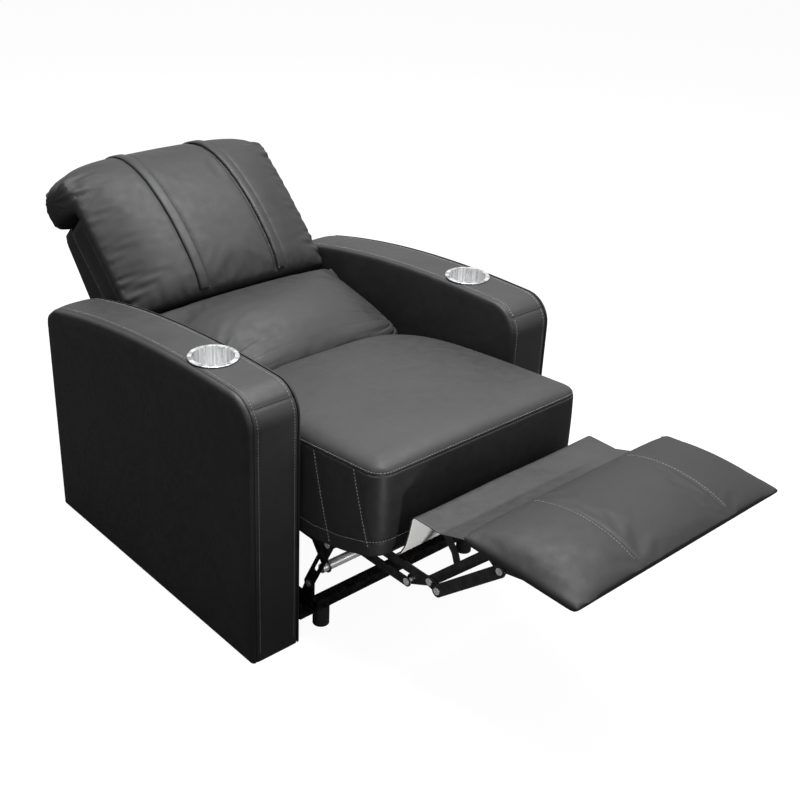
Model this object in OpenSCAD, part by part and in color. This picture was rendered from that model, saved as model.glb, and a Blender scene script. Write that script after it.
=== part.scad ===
// Home cinema recliner seat, stored in its fully reclined pose.
// X runs across the seat, the front faces -Y and Z is up from the floor.
// Places along Y are written from the arms' front seam and moved to the middle by at_datum.

/* [Arms] */
// Width over the outer seams of both arms
arm_span = 840; // [780:1:900]
// Width of one arm between its two seams
arm_w = 110.5; // [100:0.5:125]
// Depth of an arm from front to rear
arm_depth = 813; // [780:1:900]
// Height of an arm at its highest place, near the front
arm_peak_h = 629; // [600:1:680]
// How far the arm's top falls by its rear end
arm_fall = 113; // [60:1:140]
// Radius of the rounded front corner of an arm
arm_front_r = 66; // [40:1:80]
// Padding outside the outer seam
outer_pad = 12; // [6:0.5:16]
// Padding on the inner face of an arm
inner_pad = 9; // [6:0.5:10]
// Thickness of the band over the front, top and rear of an arm
band_t = 8; // [5:0.5:12]

/* [Cup holders] */
// Diameter of the steel rim
cup_rim_d = 107; // [100:0.5:109]
// Diameter of the well inside
cup_well_d = 89; // [80:0.5:92]
// Depth of the well
cup_depth = 76; // [60:1:90]
// Sheet thickness of the cup
cup_t = 1.2; // [0.8:0.1:2]
// Place of the cups behind the arms' front
cup_y = 212; // [150:1:260]

/* [Base] */
// Height of the steel base above the floor
base_h = 55; // [50:1:58]
// Diameter of a foot glide
glide_d = 38; // [30:1:44]
// Side of the square cross rails
cross_side = 25; // [20:1:26]
// Height of an angle rail's upright leg
rail_leg = 40; // [32:1:48]
// Thickness of the steel plates and links
plate_t = 3; // [2.5:0.1:3.2]
// Place of the rear cross rail
rear_cross_y = 570; // [550:1:600]

/* [Carriage] */
// Length of a swing link between its pivots
swing_l = 155; // [150:1:160]
// Forward lean of the swing links at rest, in degrees
swing_lean = 26; // [22:1:30]
// Place of the front swing link's lower pivot
swing_y = 25; // [22:1:40]
// Height of the lower pivots
swing_z = 122.7; // [118:0.5:126]
// Spacing of the front and rear swing links
swing_pitch = 340; // [325:1:350]
// Width of the swing links
swing_w = 28; // [24:1:32]
// Diameter of the pivot rivets
rivet_d = 8; // [6:0.5:9]

/* [Seat] */
// Gap between the seat and the padded inner face of an arm
seat_side_gap = 10; // [8.5:0.5:16]
// Front face of the seat border, in front of the arms
seat_front = 222; // [200:1:235]
// Height of the top seam at the front
seat_seam_h = 518; // [505:1:530]
// Fall of the seat towards the rear, in degrees
seat_pitch = 6.3; // [4:0.1:8]
// Height of the front border's lower edge
seat_hem_h = 335; // [328:1:345]
// Height of the side borders' lower edge
side_hem_h = 278; // [272:1:284]
// Crown of the seat cushion above its seam
seat_crown = 52; // [40:1:60]
// Radius of the upright front corners
seat_corner_r = 36; // [30:1:50]
// Thickness of the padded seat border
border_t = 8; // [5:0.5:9]

/* [Backrest] */
// Place of the backrest hinge
hinge_y = 500; // [490:1:510]
// Height of the backrest hinge
hinge_z = 360; // [355:1:366]
// Lean of the backrest from upright at rest, in degrees
back_lean = 46; // [42:0.5:50]
// Height of the backrest above its hinge
back_l = 685; // [650:1:720]
// Radius of the roll at the top
roll_r = 85; // [75:1:92]
// Inner edge of the front straps
strap_in = 100; // [90:1:110]
// Width of a front strap
strap_w = 28; // [22:1:34]

/* [Footrest] */
// Gap between a side of the footrest pad and the line of an arm's inner face
pad_side_gap = 3.5; // [2.5:0.5:15]
// Rear edge of the pad, in front of the arms
pad_rear = 448; // [444:1:460]
// Length of the pad from rear edge to front edge
pad_l = 274; // [255:1:290]
// Height of the pad's board at rest
pad_h = 488; // [484:0.5:492]
// Thickness of the pad at its stitched edge
pad_edge = 28; // [20:1:32]
// Rise of the pad's crown above the edge
pad_crown = 46; // [36:1:56]
// Distance from a side of the vinyl flap to the line of an arm's inner face
flap_side_gap = 44.5; // [40:0.5:50]

/* [Footrest linkage] */
// Length of the front and rear footrest links
link_l = 208.7; // [206:0.1:211]
// Place of the front link's pivot, in front of the arms
link_y = 115.8; // [114:0.1:118]
// Height of the front link's pivot
link_z = 317.6; // [316:0.1:319]
// Angle of the front and rear links at rest, in degrees
link_angle = 179.32; // [178:0.01:180]
// Width of the links
link_w = 22; // [18:0.5:22]
// Width of the control link
control_w = 26; // [24:0.5:28]

/* [Hidden] */

$fn = 48;

// Clearances and overruns
cut = 1;
pin_clear = 0.08;
open_clear = 0.4;
soft_clear = 1.2;
seat_gap = 0.3;
lie_gap = 0.1;
layer_gap = 1.5;
layer = plate_t + layer_gap;

// Inner faces of the arms and the stack of plates that hangs on each side
arm_inner = arm_span / 2 - arm_w - inner_pad;
rail_out = arm_inner;
seat_half = arm_inner - seat_side_gap;
pad_half = arm_inner - pad_side_gap;
flap_half = arm_inner - flap_side_gap;
stack_in = 37.5;
p0 = arm_inner - stack_in;
function layer_x(i) = p0 - i * layer;
swing_layer = 1;
base_layer = 2;
rear_link_layer = 3;
control_layer = 4;
front_link_layer = 5;
bracket_layer = 5;
long_layer = 6;
back_bracket_layer = 2;

// Pivots as [y, z]
function polar(r, a) = [r * cos(a), r * sin(a)];
front_low = [swing_y, swing_z];
front_top = front_low + [-swing_l * sin(swing_lean), swing_l * cos(swing_lean)];
rear_low = front_low + [swing_pitch, 0];
rear_top = front_top + [swing_pitch, 0];
hinge = [hinge_y, hinge_z];
back_arm = 60;
back_arm_angle = 210;
back_pin = hinge + polar(back_arm, back_arm_angle);
back_foot_drop = 2.7;
back_foot = [hinge_y, swing_z - back_foot_drop];
front_pivot = [-link_y, link_z];
knee = front_pivot + polar(link_l, link_angle);
pair_l = 60;
pair_step = polar(pair_l, 333.8);
rear_pivot = front_pivot + pair_step;
rear_knee = knee + pair_step;
knuckle_l = 26.9;
knuckle = knee + polar(knuckle_l, 191.7);
bracket_drop = 22.1;
bracket_pin_in = 22.4;
bracket_pin = [-pad_rear - bracket_pin_in, pad_h - bracket_drop];
control_arm = 36.9;
control_pin = bracket_pin + polar(control_arm, 210.2);

// Rear and front ends of the object at rest, and the datum midway
roll_behind = 75;
roll_centre = [roll_behind, back_l - roll_r];
function from_back(p) = hinge
    + [p[0] * cos(back_lean) + p[1] * sin(back_lean), p[1] * cos(back_lean) - p[0] * sin(back_lean)];
strap_t = 2;
strap_lift = 0.3;
rear_end = from_back(roll_centre)[0] + roll_r + strap_lift + strap_t;
front_end = -pad_rear - pad_l;
datum_y = (rear_end + front_end) / 2;

// Placing helpers
module at_datum() translate([0, -datum_y, 0]) children();
module both_sides() {
    children();
    mirror([1, 0, 0]) children();
}
module on_side(side) mirror([side < 0 ? 1 : 0, 0, 0]) children();
module upright(x, t) translate([x, 0, 0]) rotate([90, 0, 90]) linear_extrude(t) children();
module cross_pin(x_low, x_high, at, d)
    translate([x_low, at[0], at[1]]) rotate([0, 90, 0]) cylinder(d = d, h = x_high - x_low);
module in_back() translate([0, hinge_y, hinge_z]) rotate([-back_lean, 0, 0]) children();

// A flat bar with round ends between two places, very slightly waisted
waist_share = 0.985;
module bar(p, q, w) {
    heading = (q - p) / norm(q - p);
    side = [-heading[1], heading[0]] * w / 2 * waist_share;
    translate(p) circle(d = w);
    translate(q) circle(d = w);
    polygon([p + side, p - side, q - side, q + side]);
}
module eye(p, d) translate(p) circle(d = d);
module rivet_hole(p) eye(p, rivet_d + 2 * pin_clear);

// Closed solid through slices across X, each a lower and an upper path of equal length
function reversed(path) = [for (i = [len(path) - 1:-1:0]) path[i]];
function along(path, s) = let (i = min(s * (len(path) - 1), len(path) - 1.0001), k = floor(i))
    path[k] + (path[k + 1] - path[k]) * (i - k);
function resample(path, n) = [for (i = [0:n - 1]) along(path, i / (n - 1))];
function slice(x, low, high) = [for (p = concat(resample(low, len(high)), reversed(high))) [x, p[0], p[1]]];
function ring_faces(rings, m) = [for (i = [0:rings - 2]) for (j = [0:m - 1])
    each [[i * m + j, (i + 1) * m + (j + 1) % m, i * m + (j + 1) % m],
        [i * m + j, (i + 1) * m + j, (i + 1) * m + (j + 1) % m]]];
function cap_faces(k, m, turn) = [for (j = [0:m / 2 - 2])
    each turn ? [[k + j, k + m - 1 - j, k + j + 1], [k + j + 1, k + m - 1 - j, k + m - 2 - j]]
        : [[k + j, k + j + 1, k + m - 1 - j], [k + j + 1, k + m - 2 - j, k + m - 1 - j]]];
module loft(slices) {
    m = len(slices[0]);
    polyhedron(points = [for (ring = slices) each ring],
        faces = concat(cap_faces(0, m, false), ring_faces(len(slices), m),
            cap_faces((len(slices) - 1) * m, m, true)));
}
// How full a cushion is at a share of its half width, from 1 in the middle to 0 at its seam
function fullness(share, power) = 1 - pow(abs(share), power);
// Even stations that bunch up towards the two ends
function stations(n) = [for (i = [0:n]) sin(-90 + 180 * i / n)];

// Arms
arm_crest_y = 60;
fall_power = 3;
arm_in_x = arm_inner;
arm_core_in = arm_inner + inner_pad;
arm_core_out = arm_span / 2;
function arm_top(y) = arm_peak_h
    - arm_fall * pow(max(0, y - arm_crest_y) / (arm_depth - arm_crest_y), fall_power);
arm_rear_r = 8;
arm_steps = 18;
// Outline of an arm drawn in by a distance all round, but not at the floor
function arm_outline(in) = let (
        r = arm_front_r - in,
        front = in,
        rear = arm_depth - in,
        rr = max(arm_rear_r - in, 2 * cut),
        rear_top = arm_top(arm_depth) - in)
    concat([[front, 0]],
        [for (a = [180:-15:90]) [front + r + r * cos(a), arm_peak_h - in - r + r * sin(a)]],
        [for (i = [1:arm_steps - 1]) let (y = arm_front_r + (rear - rr - arm_front_r) * i / arm_steps)
            [y, arm_top(y) - in]],
        [for (a = [75:-25:0]) [rear - rr + rr * cos(a), rear_top - rr + rr * sin(a)]],
        [[rear, 0]]);
module arm_shape(in) polygon(arm_outline(in));
cup_x = (arm_core_in + arm_core_out) / 2;
cup_top = arm_top(cup_y - cup_rim_d / 2) + lie_gap;
cup_hole_d = cup_well_d + 2 * cup_t + 2 * soft_clear;
module cup_hole() translate([cup_x, cup_y, cup_top - cup_depth - 2 * soft_clear - cup_t])
    cylinder(d = cup_hole_d, h = cup_depth + cup_top);

module arm_core(side) color("burlywood") at_datum() on_side(side) difference() {
    upright(arm_core_in, arm_core_out - arm_core_in) arm_shape(band_t);
    cup_hole();
}
module arm_outer_panel(side) color([0.12, 0.12, 0.13]) at_datum() on_side(side) {
    upright(arm_core_out, outer_pad / 2) arm_shape(0);
    upright(arm_core_out + outer_pad / 2, outer_pad / 2) arm_shape(outer_pad / 4);
}
module arm_inner_panel(side) color([0.12, 0.12, 0.13]) at_datum() on_side(side) {
    upright(arm_in_x, inner_pad / 2) arm_shape(inner_pad / 4);
    upright(arm_in_x + inner_pad / 2, inner_pad / 2) arm_shape(0);
}
module arm_band(side) color([0.14, 0.14, 0.15]) at_datum() on_side(side) difference() {
    upright(arm_core_in, arm_core_out - arm_core_in) difference() {
        arm_shape(0);
        arm_shape(band_t);
        translate([band_t, -cut]) square([arm_depth - 2 * band_t, band_t + cut]);
    }
    cup_hole();
}
cup_bead = 3;
module cup_holder(side) color("gainsboro") at_datum() on_side(side)
    translate([cup_x, cup_y, cup_top]) rotate_extrude($fn = 96) {
        wall_out = cup_well_d / 2 + cup_t;
        translate([cup_well_d / 2, -cup_depth]) square([cup_t, cup_depth + cup_bead]);
        translate([0, -cup_depth - cup_t]) square([wall_out, cup_t]);
        translate([cup_well_d / 2, cup_bead - cup_t])
            square([(cup_rim_d - cup_well_d) / 2 - cup_bead / 2, cup_t]);
        translate([cup_rim_d / 2 - cup_bead / 2, cup_bead / 2]) circle(d = cup_bead);
    }

// Steel base
plate_x = layer_x(base_layer);
rail_front = 2;
rail_back = rear_cross_y + cross_side;
module base_rail(side) color([0.1, 0.1, 0.1]) at_datum() on_side(side)
    translate([0, rail_front, base_h]) {
        translate([rail_out - plate_t, 0, 0]) cube([plate_t, rail_back - rail_front, rail_leg]);
        translate([plate_x, 0, 0]) cube([rail_out - plate_x, rail_back - rail_front, plate_t]);
    }
module cross_rail(y) translate([-plate_x, y, base_h]) difference() {
    cube([2 * plate_x, cross_side, cross_side]);
    translate([-cut, plate_t, plate_t])
        cube([2 * plate_x + 2 * cut, cross_side - 2 * plate_t, cross_side - 2 * plate_t]);
}
module front_cross_rail() color([0.1, 0.1, 0.1]) at_datum() cross_rail(rail_front);
module rear_cross_rail() color([0.1, 0.1, 0.1]) at_datum() cross_rail(rear_cross_y);
glide_lip = 4;
glide_in = 10;
glide_back = 9;
module foot_glides() color([0.08, 0.08, 0.08]) at_datum() both_sides()
    for (y = [rail_front, rear_cross_y])
        translate([plate_x - glide_d / 2 - glide_in, y + cross_side / 2 + glide_back, 0]) {
            cylinder(d = glide_d - glide_lip, h = base_h);
            cylinder(d = glide_d, h = base_h - glide_lip);
        }
base_foot_z = base_h + plate_t;
base_plate_rise = 30;
base_deck_z = base_foot_z + base_plate_rise;
module base_plate_shape() difference() {
    union() {
        eye(front_low, swing_w);
        eye(rear_low, swing_w);
        eye(back_foot, swing_w);
        polygon([[front_low[0] - swing_w / 2, base_foot_z], [back_foot[0] + swing_w / 2, base_foot_z],
            [back_foot[0] + swing_w / 2, back_foot[1]], [back_foot[0] - swing_w / 2, back_foot[1]],
            [back_foot[0] - swing_w, base_deck_z + swing_w / 4],
            [rear_low[0] + swing_w, base_deck_z + swing_w / 4],
            [rear_low[0] + swing_w / 2, rear_low[1]], [rear_low[0] - swing_w / 2, rear_low[1]],
            [rear_low[0] - swing_w, base_deck_z], [front_low[0] + swing_w, base_deck_z],
            [front_low[0] + swing_w / 2, front_low[1]], [front_low[0] - swing_w / 2, front_low[1]]]);
    }
    rivet_hole(front_low);
    rivet_hole(rear_low);
    rivet_hole(back_foot);
    for (i = [1:3])
        eye([front_low[0] + swing_pitch * i / 4, (base_foot_z + base_deck_z) / 2], rivet_d);
}
module base_plates() color([0.09, 0.09, 0.1]) at_datum() both_sides()
    upright(layer_x(base_layer), plate_t) base_plate_shape();

// A riveted pivot: a shank from layer a out to layer b with a head at each end
head_d = 15;
head_t = 1.2;
head_seat = lie_gap;
module rivet(at, inner_layer, outer_layer, d = rivet_d, head = head_d) {
    low = layer_x(inner_layer) - head_seat;
    high = layer_x(outer_layer) + plate_t + head_seat;
    cross_pin(low - head_t, high + head_t, at, d);
    cross_pin(low - head_t, low, at, head);
    cross_pin(high, high + head_t, at, head);
}
// A spacer sleeve on a rivet that fills the layers between two plates
module spacer(at, inner_layer, outer_layer, d)
    cross_pin(layer_x(inner_layer) + plate_t + head_seat, layer_x(outer_layer) - head_seat, at, d);
spacer_d = 13;
module base_rivets() color("silver") at_datum() both_sides() {
    rivet(front_low, base_layer, swing_layer);
    rivet(rear_low, base_layer, swing_layer);
    rivet(back_foot, base_layer, swing_layer);
}

// Swing links that carry the seat
module swing_shape(low, top) difference() {
    bar(low, top, swing_w);
    rivet_hole(low);
    rivet_hole(top);
    bar(low + (top - low) * 0.36, low + (top - low) * 0.64, swing_w / 3);
}
module front_swing_links() color([0.1, 0.1, 0.11]) at_datum() both_sides()
    upright(layer_x(swing_layer), plate_t) swing_shape(front_low, front_top);
module rear_swing_links() color([0.1, 0.1, 0.11]) at_datum() both_sides()
    upright(layer_x(swing_layer), plate_t) difference() {
        swing_shape(rear_low, rear_top);
        eye(rear_top, rivet_d + 2 * open_clear);
    }
slot_swing = 4;
module back_links() color([0.1, 0.1, 0.11]) at_datum() both_sides()
    upright(layer_x(swing_layer), plate_t) difference() {
        bar(back_foot, back_pin, swing_w);
        rivet_hole(back_foot);
        bar(back_pin + [slot_swing, -slot_swing], back_pin - [slot_swing, -slot_swing],
            rivet_d + 2 * slot_swing);
    }

// Seat carriage
seat_plate_low = [front_top[0] - swing_w / 2, front_top[1] - swing_w / 2];
module seat_plate_shape() difference() {
    union() {
        eye(front_top, swing_w);
        eye(rear_top, swing_w);
        eye(front_pivot, link_w);
        eye(rear_pivot, link_w);
        bar(front_pivot, front_top, link_w);
        bar(rear_pivot, front_top, link_w);
        bar(front_pivot, rear_pivot, link_w);
        bar(rear_pivot, rear_top + [0, swing_w], link_w);
        bar(front_top, rear_top, swing_w);
        bar(rear_top + [0, swing_w / 2], hinge, link_w);
        bar(rear_top, hinge - [swing_w, swing_w], link_w);
        bar(hinge - [swing_w, swing_w], hinge, link_w);
    }
    rivet_hole(front_top);
    rivet_hole(rear_top);
    rivet_hole(front_pivot);
    rivet_hole(rear_pivot);
    rivet_hole(hinge);
    for (i = [1:4])
        eye(front_top + [swing_pitch * (i + 0.5) / 6, 0], swing_w / 2);
}
module seat_plates() color([0.09, 0.09, 0.1]) at_datum() both_sides()
    upright(layer_x(0), plate_t) seat_plate_shape();
module seat_rivets() color("silver") at_datum() both_sides() {
    rivet(front_top, swing_layer, 0);
    rivet(rear_top, swing_layer, 0);
    rivet(front_pivot, front_link_layer, 0);
    spacer(front_pivot, front_link_layer, 0, spacer_d);
    rivet(rear_pivot, rear_link_layer, 0);
    spacer(rear_pivot, rear_link_layer, 0, spacer_d);
    rivet(hinge, back_bracket_layer, 0);
    spacer(hinge, back_bracket_layer, 0, spacer_d);
}
rail_in = layer_x(0) + plate_t + head_t + 2 * head_seat;
rail_wood_out = seat_half - border_t;
deck_z = 400;
rail_over_hem = 12;
rail_low_z = side_hem_h + rail_over_hem;
rail_nose_run = 40;
rail_nose_rise = 20;
rail_slope_run = 110;
sweep_r = 230;
tail_gap = 8;
tail_z = hinge_z - tail_gap;
tail_lap = 50;
tail_rise = 30;
tail_step = 10;
seat_rear_y = hinge_y - sweep_r + tail_lap;
front_rail_t = seat_corner_r - border_t;
rail_nose = -seat_front + border_t + front_rail_t;
// Clearance that the turning lumbar cushion needs behind the seat
module back_sweep() translate([-seat_half - cut, hinge_y, hinge_z]) rotate([0, 90, 0])
    cylinder(r = sweep_r, h = 2 * seat_half + 2 * cut, $fn = 96);
module seat_rail(side) color("burlywood") at_datum() on_side(side) {
    difference() {
        upright(rail_in, rail_wood_out - rail_in) polygon([[rail_nose, deck_z],
            [rail_nose, seat_hem_h + rail_over_hem],
            [rail_nose + rail_nose_run, rail_low_z + rail_nose_rise], [rail_nose + rail_slope_run, rail_low_z],
            [hinge_y - sweep_r, rail_low_z], [hinge_y - sweep_r, deck_z]]);
        back_sweep();
    }
    upright(rail_in, rail_wood_out - rail_in) polygon([[seat_rear_y - sweep_r / 2, rail_low_z],
        [hinge_y + swing_w, rail_low_z + tail_rise], [hinge_y + swing_w, tail_z - tail_step],
        [hinge_y + swing_w / 2, tail_z - tail_step], [seat_rear_y - sweep_r / 4, tail_z],
        [seat_rear_y - sweep_r / 2, tail_z]]);
}
module seat_front_rail() color("burlywood") at_datum()
    translate([0, -seat_front + border_t, seat_hem_h + rail_over_hem])
        linear_extrude(deck_z - seat_hem_h - rail_over_hem)
        polygon([[-rail_wood_out, front_rail_t], [-rail_wood_out + front_rail_t, 0],
            [rail_wood_out - front_rail_t, 0], [rail_wood_out, front_rail_t]]);
rear_slat_y = 180;
slat_t = 22;
slat_h = 30;
module seat_rear_rail() color("burlywood") at_datum()
    translate([-rail_in, rear_slat_y, deck_z - slat_h]) cube([2 * rail_in, slat_t, slat_h]);
web_w = 50;
web_t = 2;
web_count = 7;
module seat_webbing() color("dimgray") at_datum() for (i = [0:web_count - 1]) {
    x = (i - (web_count - 1) / 2) * 2 * rail_in / web_count;
    translate([x - web_w / 2, rail_nose - front_rail_t, deck_z])
        cube([web_w, rear_slat_y + slat_t - rail_nose + front_rail_t, web_t]);
}
tube_d = 22;
tube_at = [29, 141];
tube_end_in = 45.4;
tube_half = rail_in - tube_end_in;
hanger_in = 17;
hanger_x = tube_half - hanger_in;
hanger_w = 30;
module seat_cross_tube() color("gainsboro") at_datum() difference() {
    cross_pin(-tube_half, tube_half, tube_at, tube_d);
    cross_pin(-tube_half - cut, tube_half + cut, tube_at, tube_d - plate_t);
}
hanger_z = deck_z - slat_h;
module tube_hangers() color([0.1, 0.1, 0.1]) at_datum() both_sides() {
    upright(hanger_x, plate_t) difference() {
        union() {
            bar([rear_slat_y + slat_t / 2, hanger_z - hanger_w / 2], tube_at, hanger_w);
            translate([rear_slat_y, hanger_z - hanger_w / 2]) square([slat_t, hanger_w / 2]);
        }
        eye(tube_at, tube_d + 2 * pin_clear);
        translate([rear_slat_y - hanger_w, hanger_z]) square([2 * hanger_w + slat_t, hanger_w]);
    }
}

// Seat upholstery
function seam_z(y) = seat_seam_h - tan(seat_pitch) * (y + seat_front);
border_in = seat_half - border_t;
module front_rounded(half, front, r, back) {
    translate([-half, front + r]) square([2 * half, back - front - r]);
    translate([-half + r, front]) square([2 * half - 2 * r, r + cut]);
    for (s = [-1, 1]) translate([s * (half - r), front + r]) circle(r = r);
}
border_rear_gap = 90;
border_rear = hinge_y - border_rear_gap;
hem_runs = [30, 100, 190, 240];
hem_rises = [-8, 24, 3];
module seat_border() color([0.12, 0.12, 0.13]) at_datum() difference() {
    intersection() {
        linear_extrude(seat_seam_h + cut) difference() {
            front_rounded(seat_half, -seat_front, seat_corner_r, border_rear);
            front_rounded(border_in, -seat_front + border_t, seat_corner_r - border_t, border_rear + cut);
        }
        upright(-seat_half - cut, 2 * seat_half + 2 * cut) polygon([
            [-seat_front - cut, seat_hem_h], [-seat_front + hem_runs[0], seat_hem_h + hem_rises[0]],
            [-seat_front + hem_runs[1], side_hem_h + hem_rises[1]],
            [-seat_front + hem_runs[2], side_hem_h + hem_rises[2]], [-seat_front + hem_runs[3], side_hem_h],
            [border_rear + cut, side_hem_h], [border_rear + cut, seam_z(border_rear + cut)],
            [-seat_front - cut, seam_z(-seat_front - cut)]]);
    }
    intersection() {
        back_sweep();
        translate([-seat_half - cut, 0, tail_z]) cube([2 * seat_half + 2 * cut, hinge_y, seat_seam_h]);
    }
}
cushion_half = border_in - seat_gap;
cushion_front = seat_front - border_t - seat_gap;
cushion_bottom = deck_z + web_t;
top_steps = 10;
rear_meet = 320;
seat_meet_rise = 44;
rear_round = 16;
function sweep_y(z) = hinge_y - sqrt(pow(sweep_r, 2) - pow(z - hinge_z, 2));
// Share of the crown along the seat, from the front seam to the rear
function seat_swell(s) = pow(sin(180 * min(1, s * 0.62 + 0.001)), 0.55);
function seat_ring(share) = let (
        half = cushion_half,
        x = half * share,
        full = fullness(share, 4),
        lip = cushion_front - max(0, seat_corner_r * 0.9 * pow(abs(share), 14)),
        top_z = seam_z(rear_meet) + seat_meet_rise * full,
        rear_y = sweep_y(top_z))
    slice(x, [[-lip, cushion_bottom], [sweep_y(cushion_bottom), cushion_bottom]],
        concat([[-lip, cushion_bottom + cut]],
            [for (i = [0:top_steps]) let (s = i / top_steps, y = -lip + s * (rear_y - rear_round + lip))
                [y, seam_z(y) - cut + seat_crown * full * seat_swell(s)
                    + (top_z - rear_round / 2 - seam_z(rear_y) - seat_crown * full * seat_swell(1)) * pow(s, 6)]],
            [for (i = [0:3]) let (z = top_z - rear_round + (cushion_bottom + cut - top_z + rear_round) * i / 3)
                [sweep_y(z), z]]));
module seat_cushion() color([0.2, 0.2, 0.21]) at_datum() loft([for (s = stations(16)) seat_ring(s)]);

// Footrest linkage
module front_footrest_links() color([0.1, 0.1, 0.11]) at_datum() both_sides()
    upright(layer_x(front_link_layer), plate_t) difference() {
        union() {
            bar(front_pivot, knee, link_w);
            bar(knee, knuckle, link_w);
        }
        rivet_hole(front_pivot);
        rivet_hole(knee);
        rivet_hole(knuckle);
    }
module front_link_rivets() color("silver") at_datum() both_sides()
    rivet(knuckle, front_link_layer, control_layer);
module rear_footrest_links() color([0.11, 0.11, 0.12]) at_datum() both_sides()
    upright(layer_x(rear_link_layer), plate_t) difference() {
        bar(rear_pivot, rear_knee, link_w);
        rivet_hole(rear_pivot);
        eye(rear_knee, rivet_d + 2 * open_clear);
    }
module long_footrest_links() color([0.12, 0.12, 0.13]) at_datum() both_sides()
    upright(layer_x(long_layer), plate_t) difference() {
        union() {
            bar(rear_knee, knee, link_w);
            bar(knee, bracket_pin, link_w);
        }
        rivet_hole(rear_knee);
        rivet_hole(knee);
        rivet_hole(bracket_pin);
    }
module long_link_rivets() color("silver") at_datum() both_sides() {
    rivet(rear_knee, long_layer, rear_link_layer);
    rivet(knee, long_layer, front_link_layer);
    rivet(bracket_pin, long_layer, bracket_layer);
}
slot_play = 4.4;
module control_links() color([0.1, 0.1, 0.11]) at_datum() both_sides()
    upright(layer_x(control_layer), plate_t) difference() {
        union() {
            bar(knuckle, control_pin, control_w);
        }
        rivet_hole(knuckle);
        eye(control_pin, rivet_d + 2 * slot_play);
    }
bracket_flange = 30;
bracket_setback = 62;
bracket_front = pad_rear + pad_l - bracket_setback;
bracket_lip = 6;
flange_gap = 10;
module footrest_brackets() color([0.1, 0.1, 0.11]) at_datum() both_sides() {
    upright(layer_x(bracket_layer), plate_t) difference() {
        union() {
            eye(bracket_pin, link_w);
            eye(control_pin, link_w);
            bar(bracket_pin, control_pin, link_w);
            polygon([[bracket_pin[0] + link_w / 2, bracket_pin[1]], [bracket_pin[0] + link_w / 2, pad_h],
                [-bracket_front, pad_h], [-bracket_front, pad_h - plate_t - bracket_lip],
                control_pin - [link_w / 2, 0], control_pin]);
        }
        rivet_hole(bracket_pin);
        rivet_hole(control_pin);
    }
    translate([layer_x(bracket_layer) - bracket_flange, -bracket_front, pad_h - plate_t])
        cube([bracket_flange, bracket_front - pad_rear - flange_gap, plate_t]);
}
module bracket_rivets() color("silver") at_datum() both_sides()
    rivet(control_pin, bracket_layer, control_layer);
board_t = 12;
board_in = 28;
module footrest_board() color("burlywood") at_datum()
    translate([-pad_half + board_in, -pad_rear - pad_l + board_in, pad_h])
        cube([2 * pad_half - 2 * board_in, pad_l - 1.6 * board_in, board_t]);
pad_pinch = 8;
pad_steps = 10;
pad_low = pad_h + board_t + seat_gap;
function pad_ring(share) = let (
        x = pad_half * share,
        full = fullness(share, 9),
        draw = pad_pinch * full * 0.4,
        front = -pad_rear - pad_l,
        rear = -pad_rear - draw,
        edge = pad_h + pad_edge,
        low = pad_low)
    slice(x, [[front + board_in * 0.6, low], [rear - board_in * 0.6, low]],
        concat([[front + board_in * 0.2, (low + edge) / 2]],
            [for (i = [0:pad_steps]) let (s = i / pad_steps, y = front + s * (rear - front))
                [y, edge + pad_crown * full * pow(sin(180 * (0.02 + 0.96 * s)), 0.6)]],
            [[rear - board_in * 0.2, (low + edge) / 2]]));
module footrest_pad() color([0.2, 0.2, 0.21]) at_datum() loft([for (s = stations(16)) pad_ring(s)]);

// Vinyl flap between the pad and the seat, over the flap tube
strut_w = 18;
flap_t = 2.5;
flap_tube_d = 14;
flap_tube_run = 95;
flap_tube_drop = 45;
flap_tube_at = [-pad_rear + flap_tube_run, pad_h - flap_tube_drop];
fold_run = 156;
fold_drop = 50;
fold_at = [-pad_rear + fold_run, pad_h - fold_drop];
flap_front_gap = 14;
flap_tuck = 4;
flap_end = [-seat_front - flap_front_gap, seat_hem_h + flap_tuck];
flap_step_run = 32;
flap_step_drop = 16;
flap_lift = 0.6;
flap_drop_shares = [[5 / 14, 1 / 3], [1 / 2, 7 / 11], [5 / 7, 86 / 99]];
function arc_at(c, r, a1, a2, n) = [for (i = [0:n]) c + polar(r, a1 + (a2 - a1) * i / n)];
fold_r = 14;
flap_path = concat([[-pad_rear - flap_tuck, pad_h - flap_tuck],
        [-pad_rear + flap_step_run, pad_h - flap_step_drop]],
    arc_at(flap_tube_at, strut_w / 2 + flap_lift, 110, 95, 1),
    arc_at(fold_at, fold_r, 85, -5, 6),
    [for (s = flap_drop_shares) [fold_at[0] + s[0] * (flap_end[0] - fold_at[0]),
        fold_at[1] + s[1] * (flap_end[1] - fold_at[1])]],
    [flap_end]);
function side_step(path, i) = let (
        a = path[max(0, i - 1)], b = path[min(len(path) - 1, i + 1)], d = (b - a) / norm(b - a))
    [-d[1], d[0]];
function thick_path(path, t) = concat(path,
    [for (i = [len(path) - 1:-1:0]) path[i] + t * side_step(path, i)]);
module footrest_flap() color([0.16, 0.16, 0.17]) at_datum()
    upright(-flap_half, 2 * flap_half) polygon(thick_path(flap_path, flap_t));
strut_root = knee + (bracket_pin - knee) * 0.45;
strut_lean = 26;
strut_bend = [flap_tube_at[0] - strut_lean, (strut_root[1] + flap_tube_at[1]) / 2];
module flap_struts() color([0.1, 0.1, 0.11]) at_datum() both_sides()
    upright(layer_x(long_layer) - plate_t, plate_t) difference() {
        union() {
            bar(strut_root, strut_bend, strut_w);
            bar(strut_bend, flap_tube_at, strut_w);
        }
        eye(flap_tube_at, flap_tube_d + 2 * pin_clear);
    }
module flap_tube() color([0.08, 0.08, 0.08]) at_datum()
    cross_pin(-layer_x(long_layer), layer_x(long_layer), flap_tube_at, flap_tube_d);

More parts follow.
